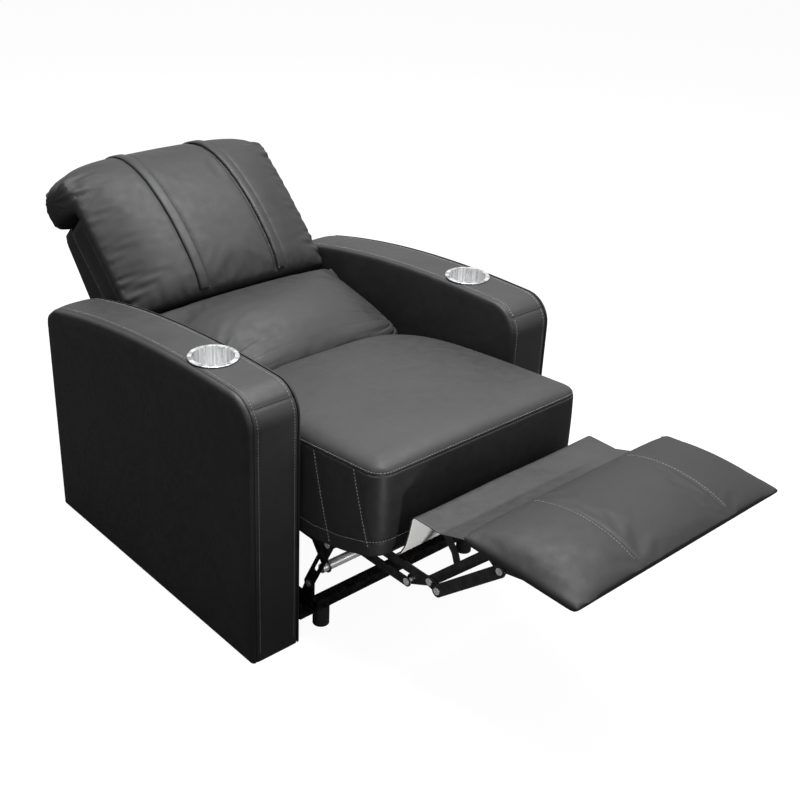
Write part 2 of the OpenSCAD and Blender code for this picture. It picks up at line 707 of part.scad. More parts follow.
// Backrest, drawn upright from its hinge: the front faces -Y and Z is its height
post_out = layer_x(back_bracket_layer) - head_t - 2 * head_seat;
post_w = 24;
post_y = 14;
post_d = 86;
rail_d = 46;
bracket_y = 37;
post_low = 22;
post_top_gap = 160;
frame_top = back_l - post_top_gap;
module back_posts() color("burlywood") at_datum() in_back() both_sides()
    translate([post_out - post_w, post_y, post_low]) cube([post_w, post_d, frame_top - post_low]);
module back_top_rail() color("burlywood") at_datum() in_back()
    translate([-post_out + post_w, post_y, frame_top - rail_d])
        cube([2 * post_out - 2 * post_w, rail_d, rail_d]);
lower_rail_z = 150;
module back_lower_rail() color("burlywood") at_datum() in_back()
    translate([-post_out + post_w, post_y, lower_rail_z]) cube([2 * post_out - 2 * post_w, rail_d, rail_d]);
function to_back(p) = let (d = p - hinge)
    [d[0] * cos(back_lean) - d[1] * sin(back_lean), d[0] * sin(back_lean) + d[1] * cos(back_lean)];
bracket_bend_z = 90;
bracket_top_z = 200;
module back_brackets() color([0.1, 0.1, 0.11]) at_datum() both_sides()
    upright(layer_x(back_bracket_layer), plate_t) difference() {
        union() {
            bar(back_pin, hinge, swing_w);
            bar(hinge, from_back([bracket_y, bracket_bend_z]), swing_w);
            bar(from_back([bracket_y, bracket_bend_z]), from_back([bracket_y, bracket_top_z]), swing_w);
        }
        rivet_hole(hinge);
        rivet_hole(back_pin);
        for (z = screw_heights) eye(from_back([bracket_y, z]), rivet_d / 2 + 2 * pin_clear);
    }
screw_heights = [110, 185];
module back_rivets() color("silver") at_datum() both_sides() {
    rivet(back_pin, back_bracket_layer, swing_layer);
    for (z = screw_heights)
        cross_pin(post_out, layer_x(back_bracket_layer) + plate_t + head_t,
            from_back([bracket_y, z]), rivet_d / 2);
}

// Rear cover of the backrest with its two side returns
shell_t = 10;
shell_low = 30;
side_in = post_out + seat_gap;
shell_top = roll_centre[1] + roll_r * sin(back_lean - 100) - seat_gap;
shell_rear_low = 190;
shell_rear_top = 126;
shell_seam = 68;
side_slope = 13;
module back_shell() color([0.12, 0.12, 0.13]) at_datum() in_back()
    upright(-post_out, 2 * post_out) polygon([[shell_rear_low - shell_t, shell_low],
        [shell_rear_low, shell_low], [shell_rear_top, shell_top], [shell_rear_top - shell_t, shell_top]]);
module back_side_panels() color([0.12, 0.12, 0.13]) at_datum() in_back()
    both_sides() upright(side_in, seat_half - side_in) polygon([[shell_seam, shell_low],
        [shell_rear_low, shell_low], [shell_rear_top, shell_top], [shell_seam + side_slope, shell_top]]);
gusset_low = 226;
gusset_slope = 12;
gusset_top_gap = 10;
module back_gusset(side) color([0.13, 0.13, 0.14]) at_datum() on_side(side) in_back()
    upright(side_in, seat_half - side_in) polygon([[post_y, gusset_low], [shell_seam - seat_gap, gusset_low],
        [shell_seam + gusset_slope, shell_top - gusset_top_gap], [post_y, shell_top - gusset_top_gap]]);

// Back cushion with the roll over its top, as fronts [y, z] in the middle and at the seam
cushion_back = post_y - seat_gap;
cushion_low = 228;
front_mid = [[-62, 222], [-84, 232], [-98, 262], [-106, 320], [-107, 372], [-104, 425], [-95, 480],
    [-80, 535], [-57, 586], [-26, 629], [14, 661]];
edge_share = 0.12;
roll_turn = [for (a = [back_lean + 50:-25:back_lean - 100]) a];
roll_end_share = 0.5;
function roll_draw(share) = roll_r * roll_end_share * pow(abs(share), 5);
roll_drop = [0.25, -0.5];
function roll_at(share) = roll_centre + roll_draw(share) * roll_drop;
draw_from = 470;
seam_out = 6;
seam_draw = 22;
function back_front(full, share) = [for (p = front_mid) let (
        low_draw = (1 - full) * seam_draw * (1 - p[1] / back_l),
        top_draw = 1.5 * roll_draw(share) * max(0, p[1] - draw_from) / (back_l - draw_from))
    [-seam_out + (p[0] + seam_out) * (edge_share + (1 - edge_share) * full), p[1] + low_draw - top_draw]];
frame_lap = 10;
cushion_lip = 6;
shell_lap = 26;
function back_ring(share) = let (
        x = seat_half * share,
        full = fullness(share, 3.2))
    slice(x, [[cushion_back, cushion_low], [cushion_back, frame_top * 0.5],
            [cushion_back, frame_top - cushion_lip],
            [post_y, frame_top + frame_lap], [shell_rear_top - shell_lap, shell_top + cushion_lip]],
        concat(back_front(full, share),
            [for (a = roll_turn) roll_at(share) + polar(roll_r - roll_draw(share), a)]));
module back_cushion() color([0.2, 0.2, 0.21]) at_datum() in_back() loft([for (s = stations(16)) back_ring(s)]);
function strap_front(share, out) = let (path = concat(back_front(fullness(share, 3.2), share),
        [for (a = roll_turn) roll_at(share) + polar(roll_r - roll_draw(share), a)]))
    [for (i = [1:len(path) - 1]) path[i] + out * side_step(path, i)];
function strap_ring(x) = slice(x, strap_front(x / seat_half, strap_lift),
    strap_front(x / seat_half, strap_lift + strap_t));
module back_strap(side) color([0.15, 0.15, 0.16]) at_datum() on_side(side) in_back()
    loft([strap_ring(strap_in), strap_ring(strap_in + strap_w / 2), strap_ring(strap_in + strap_w)]);

// Lumbar cushion, tucked under the back cushion and turning just clear of the seat
lumbar_gap = 3;
lumbar_side_gap = 2;
lumbar_low = 100;
lumbar_high = 212;
crease_z = 216;
crease_out = 64;
crease_draw = 26;
lumbar_seam_puff = 10;
lumbar_puff = 42;
function lumbar_ring(share) = let (
        x = (seat_half - lumbar_side_gap) * share,
        full = fullness(share, 3),
        low_r = (sweep_r - lumbar_gap) * (0.86 + 0.14 * fullness(share, 8)),
        nose = hinge + polar(low_r, 140),
        crease = from_back([-crease_out + crease_draw * (1 - full), crease_z]),
        out = [-0.53, 0.85] * (lumbar_seam_puff + lumbar_puff * full))
    slice(x, reversed([hinge + polar(low_r * 0.7, 152), from_back([cushion_back, lumbar_low]),
            from_back([cushion_back, lumbar_high])]),
        concat([for (i = [0:6]) let (s = i / 6) crease + (nose - crease) * s + out * sin(180 * s)],
            [for (a = [144:3.5:151]) hinge + polar(low_r, a)]));
module lumbar_cushion() color([0.18, 0.18, 0.19]) at_datum() loft([for (s = stations(14)) lumbar_ring(s)]);

arm_core(-1);  // left_arm_core
arm_core(1);  // right_arm_core
arm_outer_panel(-1);  // left_arm_outer_panel
arm_outer_panel(1);  // right_arm_outer_panel
arm_inner_panel(-1);  // left_arm_inner_panel
arm_inner_panel(1);  // right_arm_inner_panel
arm_band(-1);  // left_arm_band
arm_band(1);  // right_arm_band
cup_holder(-1);  // left_cup_holder
cup_holder(1);  // right_cup_holder
base_rail(-1);  // left_base_rail
base_rail(1);  // right_base_rail
front_cross_rail();
rear_cross_rail();
foot_glides();
base_plates();
base_rivets();
front_swing_links();
rear_swing_links();
back_links();
seat_plates();
seat_rivets();
seat_rail(-1);  // left_seat_rail
seat_rail(1);  // right_seat_rail
seat_front_rail();
seat_rear_rail();
seat_webbing();
seat_cushion();
seat_border();
seat_cross_tube();
tube_hangers();
front_footrest_links();
front_link_rivets();
long_footrest_links();
long_link_rivets();
rear_footrest_links();
control_links();
footrest_brackets();
bracket_rivets();
footrest_board();
footrest_pad();
footrest_flap();
flap_struts();
flap_tube();
back_posts();
back_top_rail();
back_lower_rail();
back_brackets();
back_rivets();
back_shell();
back_side_panels();
back_gusset(-1);  // left_back_gusset
back_gusset(1);  // right_back_gusset
back_cushion();
lumbar_cushion();
back_strap(-1);  // left_back_strap
back_strap(1);  // right_back_strap
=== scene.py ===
import math

import bpy
import numpy as np
from mathutils import Matrix, Vector


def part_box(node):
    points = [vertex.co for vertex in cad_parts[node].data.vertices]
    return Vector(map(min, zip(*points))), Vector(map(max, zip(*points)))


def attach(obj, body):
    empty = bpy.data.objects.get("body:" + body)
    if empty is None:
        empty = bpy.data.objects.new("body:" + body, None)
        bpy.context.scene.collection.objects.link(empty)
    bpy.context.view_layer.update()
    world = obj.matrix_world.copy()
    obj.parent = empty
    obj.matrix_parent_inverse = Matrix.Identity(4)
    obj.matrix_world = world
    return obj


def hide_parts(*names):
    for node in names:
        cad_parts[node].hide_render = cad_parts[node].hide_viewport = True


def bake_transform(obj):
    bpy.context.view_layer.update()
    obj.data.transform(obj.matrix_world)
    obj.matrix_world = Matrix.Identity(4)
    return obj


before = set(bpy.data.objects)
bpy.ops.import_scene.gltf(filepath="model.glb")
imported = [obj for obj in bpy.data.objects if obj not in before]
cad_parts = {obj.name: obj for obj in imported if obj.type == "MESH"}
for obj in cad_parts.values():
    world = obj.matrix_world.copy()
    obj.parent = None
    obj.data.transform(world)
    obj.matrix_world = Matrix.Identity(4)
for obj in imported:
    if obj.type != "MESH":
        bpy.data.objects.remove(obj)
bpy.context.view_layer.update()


# ---- Arms
# Each arm is a timber box with foam on it, covered in black leather. A flat
# panel closes each side, and one boxing band runs up the front, over the
# rounded corner and along the sloping top to the floor at the rear.

class Wire:
    """A shader value, so that sums on it read as sums."""

    def __init__(self, look, socket):
        self.look, self.socket = look, socket

    def _do(self, operation, *values):
        return self.look.node("ShaderNodeMath", {"operation": operation}, list(values))

    def __add__(self, other):
        return self._do("ADD", self, other)

    def __mul__(self, other):
        return self._do("MULTIPLY", self, other)


class Look:
    """A material, with its shader's fixed numbers set on the shader itself."""

    def __init__(self, name, **fixed):
        self.material = bpy.data.materials.new(name)
        self.material.use_nodes = True
        self.tree = self.material.node_tree
        self.shader = self.tree.nodes["Principled BSDF"]
        for key, value in fixed.items():
            self.shader.inputs[key.replace("_", " ")].default_value = value

    def node(self, kind, settings, inputs, out=0):
        made = self.tree.nodes.new(kind)
        for key, value in settings.items():
            setattr(made, key, value)
        pairs = inputs.items() if isinstance(inputs, dict) else enumerate(inputs)
        for key, value in pairs:
            if isinstance(value, Wire):
                self.tree.links.new(value.socket, made.inputs[key])
            else:
                made.inputs[key].default_value = value
        return Wire(self, made.outputs[out])

    def place(self):
        return self.node("ShaderNodeTexCoord", {}, [], "Object")

    def noise(self, scale, detail=2.0, at=None):
        inputs = {"Vector": at or self.place(), "Scale": scale, "Detail": detail}
        return self.node("ShaderNodeTexNoise", {}, inputs)

    def mix(self, share, low, high):
        return self.node("ShaderNodeMix", {"data_type": "RGBA"}, {0: share, 6: low, 7: high}, 2)

    def spread(self, value, low=0.0, high=1.0):
        """Stretches a noise, most of which lies between 0.3 and 0.7, to low and high."""
        return self.node("ShaderNodeMapRange", {}, {0: value, 1: 0.3, 2: 0.7, 3: low, 4: high})

    def feed(self, name, value):
        self.tree.links.new(value.socket, self.shader.inputs[name])

    def bump(self, height, depth, strength=1.0, under=None):
        inputs = {"Height": height, "Distance": depth, "Strength": strength}
        if under:
            inputs["Normal"] = under
        return self.node("ShaderNodeBump", {}, inputs)


def leather(name, tone, rough=0.57, grain=620.0, depth=0.00022):
    look = Look(name, Specular_IOR_Level=0.28)
    cloud = look.noise(7.0, 3.0)
    scuff = look.noise(45.0, 4.0)
    dark = [tone * 0.82, tone * 0.83, tone * 0.87, 1]
    pale = [tone * 1.22, tone * 1.22, tone * 1.24, 1]
    look.feed("Base Color", look.mix(look.spread(cloud * 0.6 + scuff * 0.4), dark, pale))
    look.feed("Roughness", look.spread(scuff, rough - 0.05, rough + 0.06))
    pebble = look.node("ShaderNodeTexVoronoi", {"feature": "SMOOTH_F1"},
                       {"Vector": look.place(), "Scale": grain})
    pore = look.noise(grain * 2.2, 1.0)
    fine = look.bump(pebble * 0.8 + pore * 0.35, depth, 0.55)
    soft = look.bump(look.noise(34.0, 3.0), 0.0009, 0.6, fine)
    look.feed("Normal", look.bump(look.noise(13.0, 2.0), 0.0022, 0.7, soft))
    return look.material


def speckled(name, scale, detail, dark, pale, rough=None, **fixed):
    """A material whose tone, and roughness where a pair is given, follow one fine noise."""
    look = Look(name, **fixed)
    specks = look.noise(scale, detail)
    look.feed("Base Color", look.mix(look.spread(specks), [*dark, 1], [*pale, 1]))
    if rough:
        look.feed("Roughness", look.spread(specks, *rough))
    return look, specks


def cord(name, scale, dark, pale, rough=0.6):
    """A thread's material, in greys from dark to pale."""
    look = Look(name, Roughness=rough)
    look.feed("Base Color", look.mix(look.noise(scale), [*dark, 1], [*pale, 1]))
    return look.material


def only(*chosen):
    bpy.ops.object.select_all(action="DESELECT")
    for piece in chosen:
        piece.select_set(True)
    bpy.context.view_layer.objects.active = chosen[0]


def finish(piece, material, smooth=True):
    only(piece)
    piece.data.materials.clear()
    piece.data.materials.append(material)
    if smooth:
        bpy.ops.object.shade_smooth()
    return piece


def bake(piece, kind, **settings):
    """Adds one modifier, sets it and applies it."""
    only(piece)
    modifier = piece.modifiers.new("step", kind)
    for key, value in settings.items():
        setattr(modifier, key, value)
    bpy.ops.object.modifier_apply(modifier=modifier.name)


def panel(name, columns, rows, place):
    """A grid whose points are moved to place(u, v), both from 0 to 1."""
    bpy.ops.object.select_all(action="DESELECT")
    bpy.ops.mesh.primitive_grid_add(x_subdivisions=columns, y_subdivisions=rows, size=2)
    piece = bpy.context.object
    piece.name = piece.data.name = name
    for point in piece.data.vertices:
        point.co = place((point.co.x + 1) / 2, (point.co.y + 1) / 2)
    return piece


def outwards(piece):
    only(piece)
    bpy.ops.object.mode_set(mode="EDIT")
    bpy.ops.mesh.select_all(action="SELECT")
    bpy.ops.mesh.remove_doubles(threshold=0.00005)
    bpy.ops.mesh.normals_make_consistent(inside=False)
    bpy.ops.object.mode_set(mode="OBJECT")


def cell(share, count):
    """The step that a share of a row of points falls in, and how far along that step."""
    k = share * (count - 1)
    i = min(int(k), count - 2)
    return i, k - i


def read(mesh, what):
    """The co or the normal of every point, one row for each."""
    values = np.zeros(len(mesh.vertices) * 3)
    mesh.vertices.foreach_get(what, values)
    return values.reshape(-1, 3)


def write(mesh, co):
    mesh.vertices.foreach_set("co", co.ravel())
    mesh.update()


def stitches(name, on, points, material, body, step=0.0072, thick=0.0008, lift=0.0):
    """One row of thread along points, laid on the surface of another piece."""
    path = np.array(points, float)
    gaps = np.linalg.norm(np.diff(path, axis=0), axis=1)
    reach = np.concatenate([[0], np.cumsum(gaps)])
    count = int(reach[-1] / step)
    thread_from, thread_to = 0.12, 0.82
    marks = [[np.interp((k + share) * step, reach, path[:, i]) for i in range(3)]
             for k in range(count) for share in (thread_from, thread_to)]
    corners, faces = [], []
    ring, shortest = 6, 0.001
    for k in range(count):
        ends = []
        for raw in (marks[2 * k], marks[2 * k + 1]):
            _, spot, normal, _ = on.closest_point_on_mesh(Vector(raw))
            ends.append((spot + normal * lift, normal))
        (a, up), (b, _) = ends
        run = b - a
        if run.length < shortest:
            continue
        run.normalize()
        side = run.cross(up).normalized()
        base = len(corners)
        for t, fat in ((0, 0.35), (0.2, 1), (0.8, 1), (1, 0.35)):
            middle = a.lerp(b, t) + up * thick * 0.3
            for j in range(ring):
                turn = 2 * math.pi * j / ring
                corners.append(middle + (side * math.cos(turn) + up * math.sin(turn)) * thick * fat)
        for r in range(3):
            for j in range(ring):
                faces.append([base + r * ring + j, base + (r + 1) * ring + j,
                              base + (r + 1) * ring + (j + 1) % ring, base + r * ring + (j + 1) % ring])
        faces.append([base + j for j in range(ring)])
        faces.append([base + 3 * ring + j for j in reversed(range(ring))])
    mesh = bpy.data.meshes.new(name)
    mesh.from_pydata([tuple(c) for c in corners], [], faces)
    piece = bpy.data.objects.new(name, mesh)
    bpy.context.collection.objects.link(piece)
    outwards(piece)
    finish(piece, material)
    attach(piece, body)
    return piece


def crease(piece, points, depth, width):
    """Draws the surface in along a line, as a sewn seam does."""
    co, normals = read(piece.data, "co"), read(piece.data, "normal")
    line = np.array(points, float)
    far_off = 9.0
    near = np.full(len(co), far_off)
    box = np.nonzero((co > line.min(0) - width).all(1) & (co < line.max(0) + width).all(1))[0]
    for a, b in zip(line[:-1], line[1:]):
        low, high = np.minimum(a, b) - width, np.maximum(a, b) + width
        some = box[((co[box] > low) & (co[box] < high)).all(1)]
        if len(some):
            run = b - a
            t = np.clip(((co[some] - a) @ run) / max(run @ run, 1e-12), 0, 1)
            off = np.linalg.norm(co[some] - (a + t[:, None] * run), axis=1)
            near[some] = np.minimum(near[some], off)
    pull = np.clip(1 - near / width, 0, 1) ** 1.6 * depth
    write(piece.data, co - normals * pull[:, None])


def pucker(piece, reach, depth, around, ends, pitch, seed=0.0, strength=None):
    """Folds that run in from a cushion's ends, where its cover is gathered into a seam.

    Three waves of unlike pitch and a wandering length keep the folds uneven."""
    co, normals = read(piece.data, "co"), read(piece.data, "normal")
    way = around(co)
    for end, side in ends:
        gap = np.abs(co[:, 0] - end) if side == 0 else np.clip((end - co[:, 0]) * side, 0, None)
        folds = 0.55 * np.sin(way * 2 * np.pi / pitch + seed + 3 * gap / reach)
        folds += 0.3 * np.sin(way * 2 * np.pi / (pitch * 1.63) + 1.7 + seed - 2 * gap / reach)
        folds += 0.25 * np.sin(way * 2 * np.pi / (pitch * 0.61) + 0.4 + 2 * seed)
        length = reach * (0.75 + 0.4 * np.sin(way * 2 * np.pi / (pitch * 2.7) + seed))
        fade = np.exp(-(gap / length) ** 1.4) * np.clip(gap / 0.006, 0.15, 1)
        if strength is not None:
            fade = fade * strength(way)
        co -= normals * (depth * (0.35 - folds) * fade)[:, None]
    write(piece.data, co)


# One black leather in lit and shaded copies: the lighter tone on the arm tops and seat deck, and the darker
# one on sides, borders, straps and back panels, are painted light and shade.
black_leather = leather("black_leather", 0.021)
shaded_leather = leather("black_leather_shaded", 0.016, 0.52)
thread = cord("black_thread", 900.0, (0.10, 0.10, 0.102), (0.2, 0.2, 0.203))
# A near-black cord, darker than the thread, for painted shade along the arms' cross seams.
seam_shade_cord = cord("seam_shadow_cord", 500.0, (0.001, 0.001, 0.001), (0.004, 0.004, 0.004), 0.9)

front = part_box("left_arm_band")[0].y
arm_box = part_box("right_arm_band")
arm_depth = arm_box[1].y - arm_box[0].y
arm_peak = arm_box[1].z
arm_fall, arm_crest, arm_corner, arm_tail = 0.090, 0.060, 0.066, 0.036
seam_in, seam_out = arm_box[0].x, arm_box[1].x


def arm_top(y):
    """The height of the arm's top, level to its crest and falling in a soft curve behind it."""
    return arm_peak - arm_fall * (max(0.0, y - arm_crest) / (arm_depth - arm_crest)) ** 2.3


def arc(turns):
    """Sine and cosine of each angle."""
    return [(math.sin(a), math.cos(a)) for a in turns]


def arm_line(inset, rows=240):
    """The arm's outline from the floor in front, over the top, to the floor behind."""
    r, far = arm_corner - inset, arm_depth - inset
    tail = max(arm_tail - inset, 0.002)
    top_end = arm_top(arm_depth) - inset
    raw = [(inset, 0.0)]
    raw += [(inset + r - r * c, arm_peak - inset - r + r * s)
            for s, c in arc(np.linspace(0, math.pi / 2, 14))]
    raw += [(y, arm_top(y) - inset) for y in np.linspace(arm_corner + 0.02, far - tail, 40)]
    raw += [(far - tail + tail * s, top_end - tail + tail * c)
            for s, c in arc(np.linspace(0.3, math.pi / 2, 5))]
    raw += [(far, 0.0)]
    raw = np.array(raw)
    reach = np.concatenate([[0], np.cumsum(np.linalg.norm(np.diff(raw, axis=0), axis=1))])
    even = np.linspace(0, reach[-1], rows)
    return [(front + np.interp(s, reach, raw[:, 0]), np.interp(s, reach, raw[:, 1])) for s in even]


side_points = 200
edge_rings = ((0.0004, 0.28), (0.0016, 0.52), (0.0034, 0.70), (0.006, 0.82), (0.011, 0.9), (0.03, 0.95))
face_rings = ((0.75, 0.975), (0.5, 0.99), (0.25, 1.0), (0.02, 1.0))


def arm_side(name, seam, face):
    """A side panel, drawn in over a rounded edge to a slightly crowned face.

    The edge's rings each have an inset and a share of the panel's depth, and
    the face's rings a share of the outline's size and one of the depth."""
    deep = face - seam
    rows = arm_line(0.0, side_points)
    middle = np.array([front + arm_depth * 0.45, arm_peak * 0.48])

    def ring(out, outline):
        bpy.ops.mesh.extrude_region_move(TRANSFORM_OT_translate={"value": (0, 0, 0)})
        bpy.ops.object.mode_set(mode="OBJECT")
        drawn = [v for v in piece.data.vertices if v.select]
        for point, (y, z) in zip(drawn, outline):
            point.co = (seam + deep * out, y, z)
        bpy.ops.object.mode_set(mode="EDIT")

    bpy.ops.object.select_all(action="DESELECT")
    bpy.ops.mesh.primitive_circle_add(vertices=len(rows), radius=1, fill_type="NGON")
    piece = bpy.context.object
    piece.name = piece.data.name = name
    for point, (y, z) in zip(piece.data.vertices, rows):
        point.co = (seam, y, z)
    bpy.ops.object.mode_set(mode="EDIT")
    bpy.ops.mesh.select_all(action="SELECT")
    for inset, out in edge_rings:
        ring(out, [(y, max(z, 0.3 * inset)) for y, z in arm_line(inset, side_points)])
    for share, out in face_rings:
        ring(out, [middle + (np.array(p) - middle) * share for p in arm_line(edge_rings[-1][0], side_points)])
    bpy.ops.mesh.select_all(action="SELECT")
    bpy.ops.mesh.normals_make_consistent(inside=False)
    bpy.ops.object.mode_set(mode="OBJECT")
    only(piece)
    bpy.ops.object.shade_smooth_by_angle(angle=math.radians(60))
    piece.data.materials.append(shaded_leather)
    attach(piece, "base")
    return piece


def ramp(value, start, length):
    """0 up to start, 1 from start + length, and straight between them."""
    return min(1.0, max(0.0, (value - start) / length))


band_rows = 460
band_turn = 0.0055
cup_hole_r = 0.0468
topstitch_in = 0.0105


def arm_band(name, sign):
    """The boxing band, crowned across and turned in at both seams."""
    below = 0.006
    rows, inner = arm_line(0.0, band_rows), arm_line(below, band_rows)
    width = seam_out - seam_in

    def place(u, v):
        i, t = cell(v, band_rows)
        edge = min(u, 1 - u) * width
        turn = max(0.0, 1 - edge / band_turn)
        y_here, z_here = rows[i]
        rear = ramp(y_here, front + 0.27, 0.25) * ramp(z_here, 0.40, 0.08)
        ahead = ramp(z_here, 0.02, 0.1) * ramp(-y_here, -front - 0.03, 0.03)
        bulge = (0.0004 + 0.0045 * rear + 0.0024 * ahead) * (1 - abs(2 * u - 1) ** 2.6)
        drop = band_turn * (1 - math.sqrt(max(0.0, 1 - turn * turn))) - bulge + 0.001 * rear
        share = drop / below
        a = np.array(rows[i]) * (1 - t) + np.array(rows[i + 1]) * t
        b = np.array(inner[i]) * (1 - t) + np.array(inner[i + 1]) * t
        y, z = a + (b - a) * share
        return (sign * (seam_in + u * width), y, max(z, 0.0))

    piece = panel(name, 34, band_rows, place)
    bake(piece, "SOLIDIFY", thickness=0.004, offset=-1 if sign > 0 else 1)
    outwards(piece)
    cup_low, cup_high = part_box(f"{name.split('_')[0]}_cup_holder")
    hole_x, hole_y = (cup_low.x + cup_high.x) / 2, (cup_low.y + cup_high.y) / 2
    bpy.ops.object.select_all(action="DESELECT")
    bpy.ops.mesh.primitive_cylinder_add(vertices=96, radius=cup_hole_r, depth=0.3,
                                        location=(hole_x, hole_y, arm_peak))
    cutter = bpy.context.object
    bake(piece, "BOOLEAN", object=cutter, operation="DIFFERENCE", solver="EXACT")
    bpy.data.objects.remove(cutter)
    across = [(sign * x, front + 0.0125, arm_peak - 0.0215)
              for x in np.linspace(seam_in + 0.004, seam_out - 0.004, 40)]
    crease(piece, across, 0.0030, 0.009)
    finish(piece, black_leather)
    # The cross seam's stitches are real, but their near-black cord is painted shade along the seam.
    stitches(f"{name}_cross_seam_shade", piece, across, seam_shade_cord, "base",
             step=0.004, thick=0.0011)
    return piece


for side, sign in (("left", -1), ("right", 1)):
    band = arm_band(f"{side}_arm_boxing", sign)
    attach(band, "base")
    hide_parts(f"{side}_arm_band")
    outer_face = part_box(f"{side}_arm_outer_panel")[1 if sign > 0 else 0].x
    outer = arm_side(f"{side}_arm_outside", sign * seam_out, outer_face)
    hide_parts(f"{side}_arm_outer_panel")
    inner_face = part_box(f"{side}_arm_inner_panel")[0 if sign > 0 else 1].x
    inside = arm_side(f"{side}_arm_inside", sign * seam_in, inner_face)
    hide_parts(f"{side}_arm_inner_panel")
    for label, x in (("outer", seam_out - topstitch_in), ("inner", seam_in + topstitch_in)):
        row = [(sign * x, y, z) for y, z in arm_line(-0.0004, 300)[3:-3]]
        crease(band, row, 0.0011, 0.0042)
        stitches(f"{side}_arm_{label}_topstitch", band, row, thread, "base")


# ---- Cup holders
# Pressed stainless steel cups with a rolled rim, dropped into round holes in
# the arm tops. The well is bright with streaks round its wall, partly brushing
# and partly painted reflection; the rim's dark tone with a few glints is painted reflection of the leather
# round it.

cup_well_r = 0.0445


def steel_with_painted_reflection(name, tone, rough, axis_x, axis_y):
    look = Look(name, Metallic=0.86)
    centred = look.node("ShaderNodeMapping", {}, {"Vector": look.place(), "Location": (-axis_x, -axis_y, 0)})
    turned = look.node("ShaderNodeVectorMath", {"operation": "MULTIPLY"}, [centred, (1, 1, 0)])
    around = look.node("ShaderNodeVectorMath", {"operation": "NORMALIZE"}, [turned])
    far = look.node("ShaderNodeVectorMath", {"operation": "LENGTH"}, [turned], "Value")
    brushing_and_painted_streaks = look.noise(7.0, 5.0, around)
    rings = look.node("ShaderNodeTexWave", {"wave_type": "RINGS", "rings_direction": "Z"},
                      {"Vector": centred, "Scale": 420.0, "Distortion": 1.5})
    # wall is 1 in the well and 0 on the rim, which take different painted reflections.
    wall = look.node("ShaderNodeMath", {"operation": "LESS_THAN"}, [far, cup_well_r + 0.0004])
    painted_glints = look.spread(look.noise(2.6, 2.0, around))
    # The well runs from mid grey to white along its streaks: brushing plus painted reflection and highlight.
    inside = look.mix(look.spread(brushing_and_painted_streaks), [tone * 0.55, tone * 0.56, tone * 0.57, 1], [1, 1, 1, 1])
    # The rim's dark tone with bright spots is painted reflection of the leather, with painted glints.
    outside = look.mix(painted_glints, [tone * 0.14, tone * 0.14, tone * 0.15, 1], [tone, tone, tone, 1])
    look.feed("Base Color", look.mix(wall, outside, inside))
    look.feed("Roughness", look.spread(brushing_and_painted_streaks, rough * 0.6, rough * 1.3))
    look.feed("Normal", look.bump(rings, 0.0001, 0.3))
    return look.material


for side in ("left", "right"):
    low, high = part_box(f"{side}_cup_holder")
    middle = (low + high) / 2
    steel = steel_with_painted_reflection(f"{side}_cup_steel", 0.86, 0.3, middle.x, middle.y)
    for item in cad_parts[f"{side}_cup_holder"].material_slots:
        item.material = steel


# ---- Base and reclining mechanism
# Pressed steel plates and links in black enamel, riveted in stacks on both
# sides, on two angle rails and square cross rails. The rivets are zinc plated
# and so is the tube that ties both sides of the seat together.

enamel_look, _ = speckled("black_enamel", 60.0, 3.0, (0.006, 0.006, 0.007), (0.016, 0.016, 0.017),
                          (0.2, 0.36), Metallic=0.0, Specular_IOR_Level=0.6, Coat_Roughness=0.15)
enamel_look.feed("Normal", enamel_look.bump(enamel_look.noise(380.0, 2.0), 0.0002, 0.4))

zinc_look, _ = speckled("bright_zinc", 160.0, 4.0, (0.55, 0.56, 0.58), (0.78, 0.79, 0.8),
                        (0.2, 0.38), Metallic=0.5)
# The zinc-plated tube gets a near-white, mostly non-metallic colour: painted reflection standing in for its
# bright shine.
tube_painted_shine_look = Look("bright_tube", Metallic=0.3)
bloom = tube_painted_shine_look.noise(90.0, 3.0)
tube_painted_shine_look.feed("Base Color", tube_painted_shine_look.mix(bloom, [0.86, 0.87, 0.88, 1], [0.97, 0.97, 0.98, 1]))
tube_painted_shine_look.feed("Roughness", tube_painted_shine_look.spread(tube_painted_shine_look.noise(140.0), 0.16, 0.3))

wood_look = Look("bare_timber", Roughness=0.62)
grain_at = wood_look.node("ShaderNodeMapping", {}, {"Vector": wood_look.place(), "Scale": (3.0, 3.0, 26.0)})
rings = wood_look.noise(9.0, 5.0, grain_at)
rings_share = wood_look.spread(rings)
wood_look.feed("Base Color", wood_look.mix(rings_share, [0.34, 0.2, 0.1, 1], [0.62, 0.43, 0.25, 1]))
wood_look.feed("Normal", wood_look.bump(rings, 0.0006, 0.5))

plastic_look, _ = speckled("glide_plastic", 300.0, 2.0, (0.012,) * 3, (0.028,) * 3, (0.42, 0.6))

web_look = Look("elastic_web", Roughness=0.9)
strands = web_look.node("ShaderNodeTexWave", {"bands_direction": "X"},
                        {"Vector": web_look.place(), "Scale": 240.0})
web_look.feed("Base Color", web_look.mix(strands, [0.05, 0.05, 0.055, 1], [0.14, 0.14, 0.145, 1]))
web_look.feed("Normal", web_look.bump(strands, 0.0006, 0.7))

# The first row with a word that a node's name holds gives the look of that node.
node_looks = (
    (("seat_cross_tube",), tube_painted_shine_look.material),
    (("rivet",), zinc_look.material),
    (("core", "back_posts", "back_top_rail", "back_lower_rail", "seat_rail", "seat_front_rail",
      "seat_rear_rail"), wood_look.material),
    (("foot_glides",), plastic_look.material),
    (("seat_webbing",), web_look.material),
    (("flap_struts", "flap_tube"), enamel_look.material),
    (("cushion", "pad", "panel", "band", "border", "strap", "shell", "gusset", "flap", "board"),
     shaded_leather),
    (("",), enamel_look.material),
)

for node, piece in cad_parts.items():
    if "cup_holder" not in node:
        look = next(look for words, look in node_looks if any(word in node for word in words))
        for item in piece.material_slots:
            item.material = look


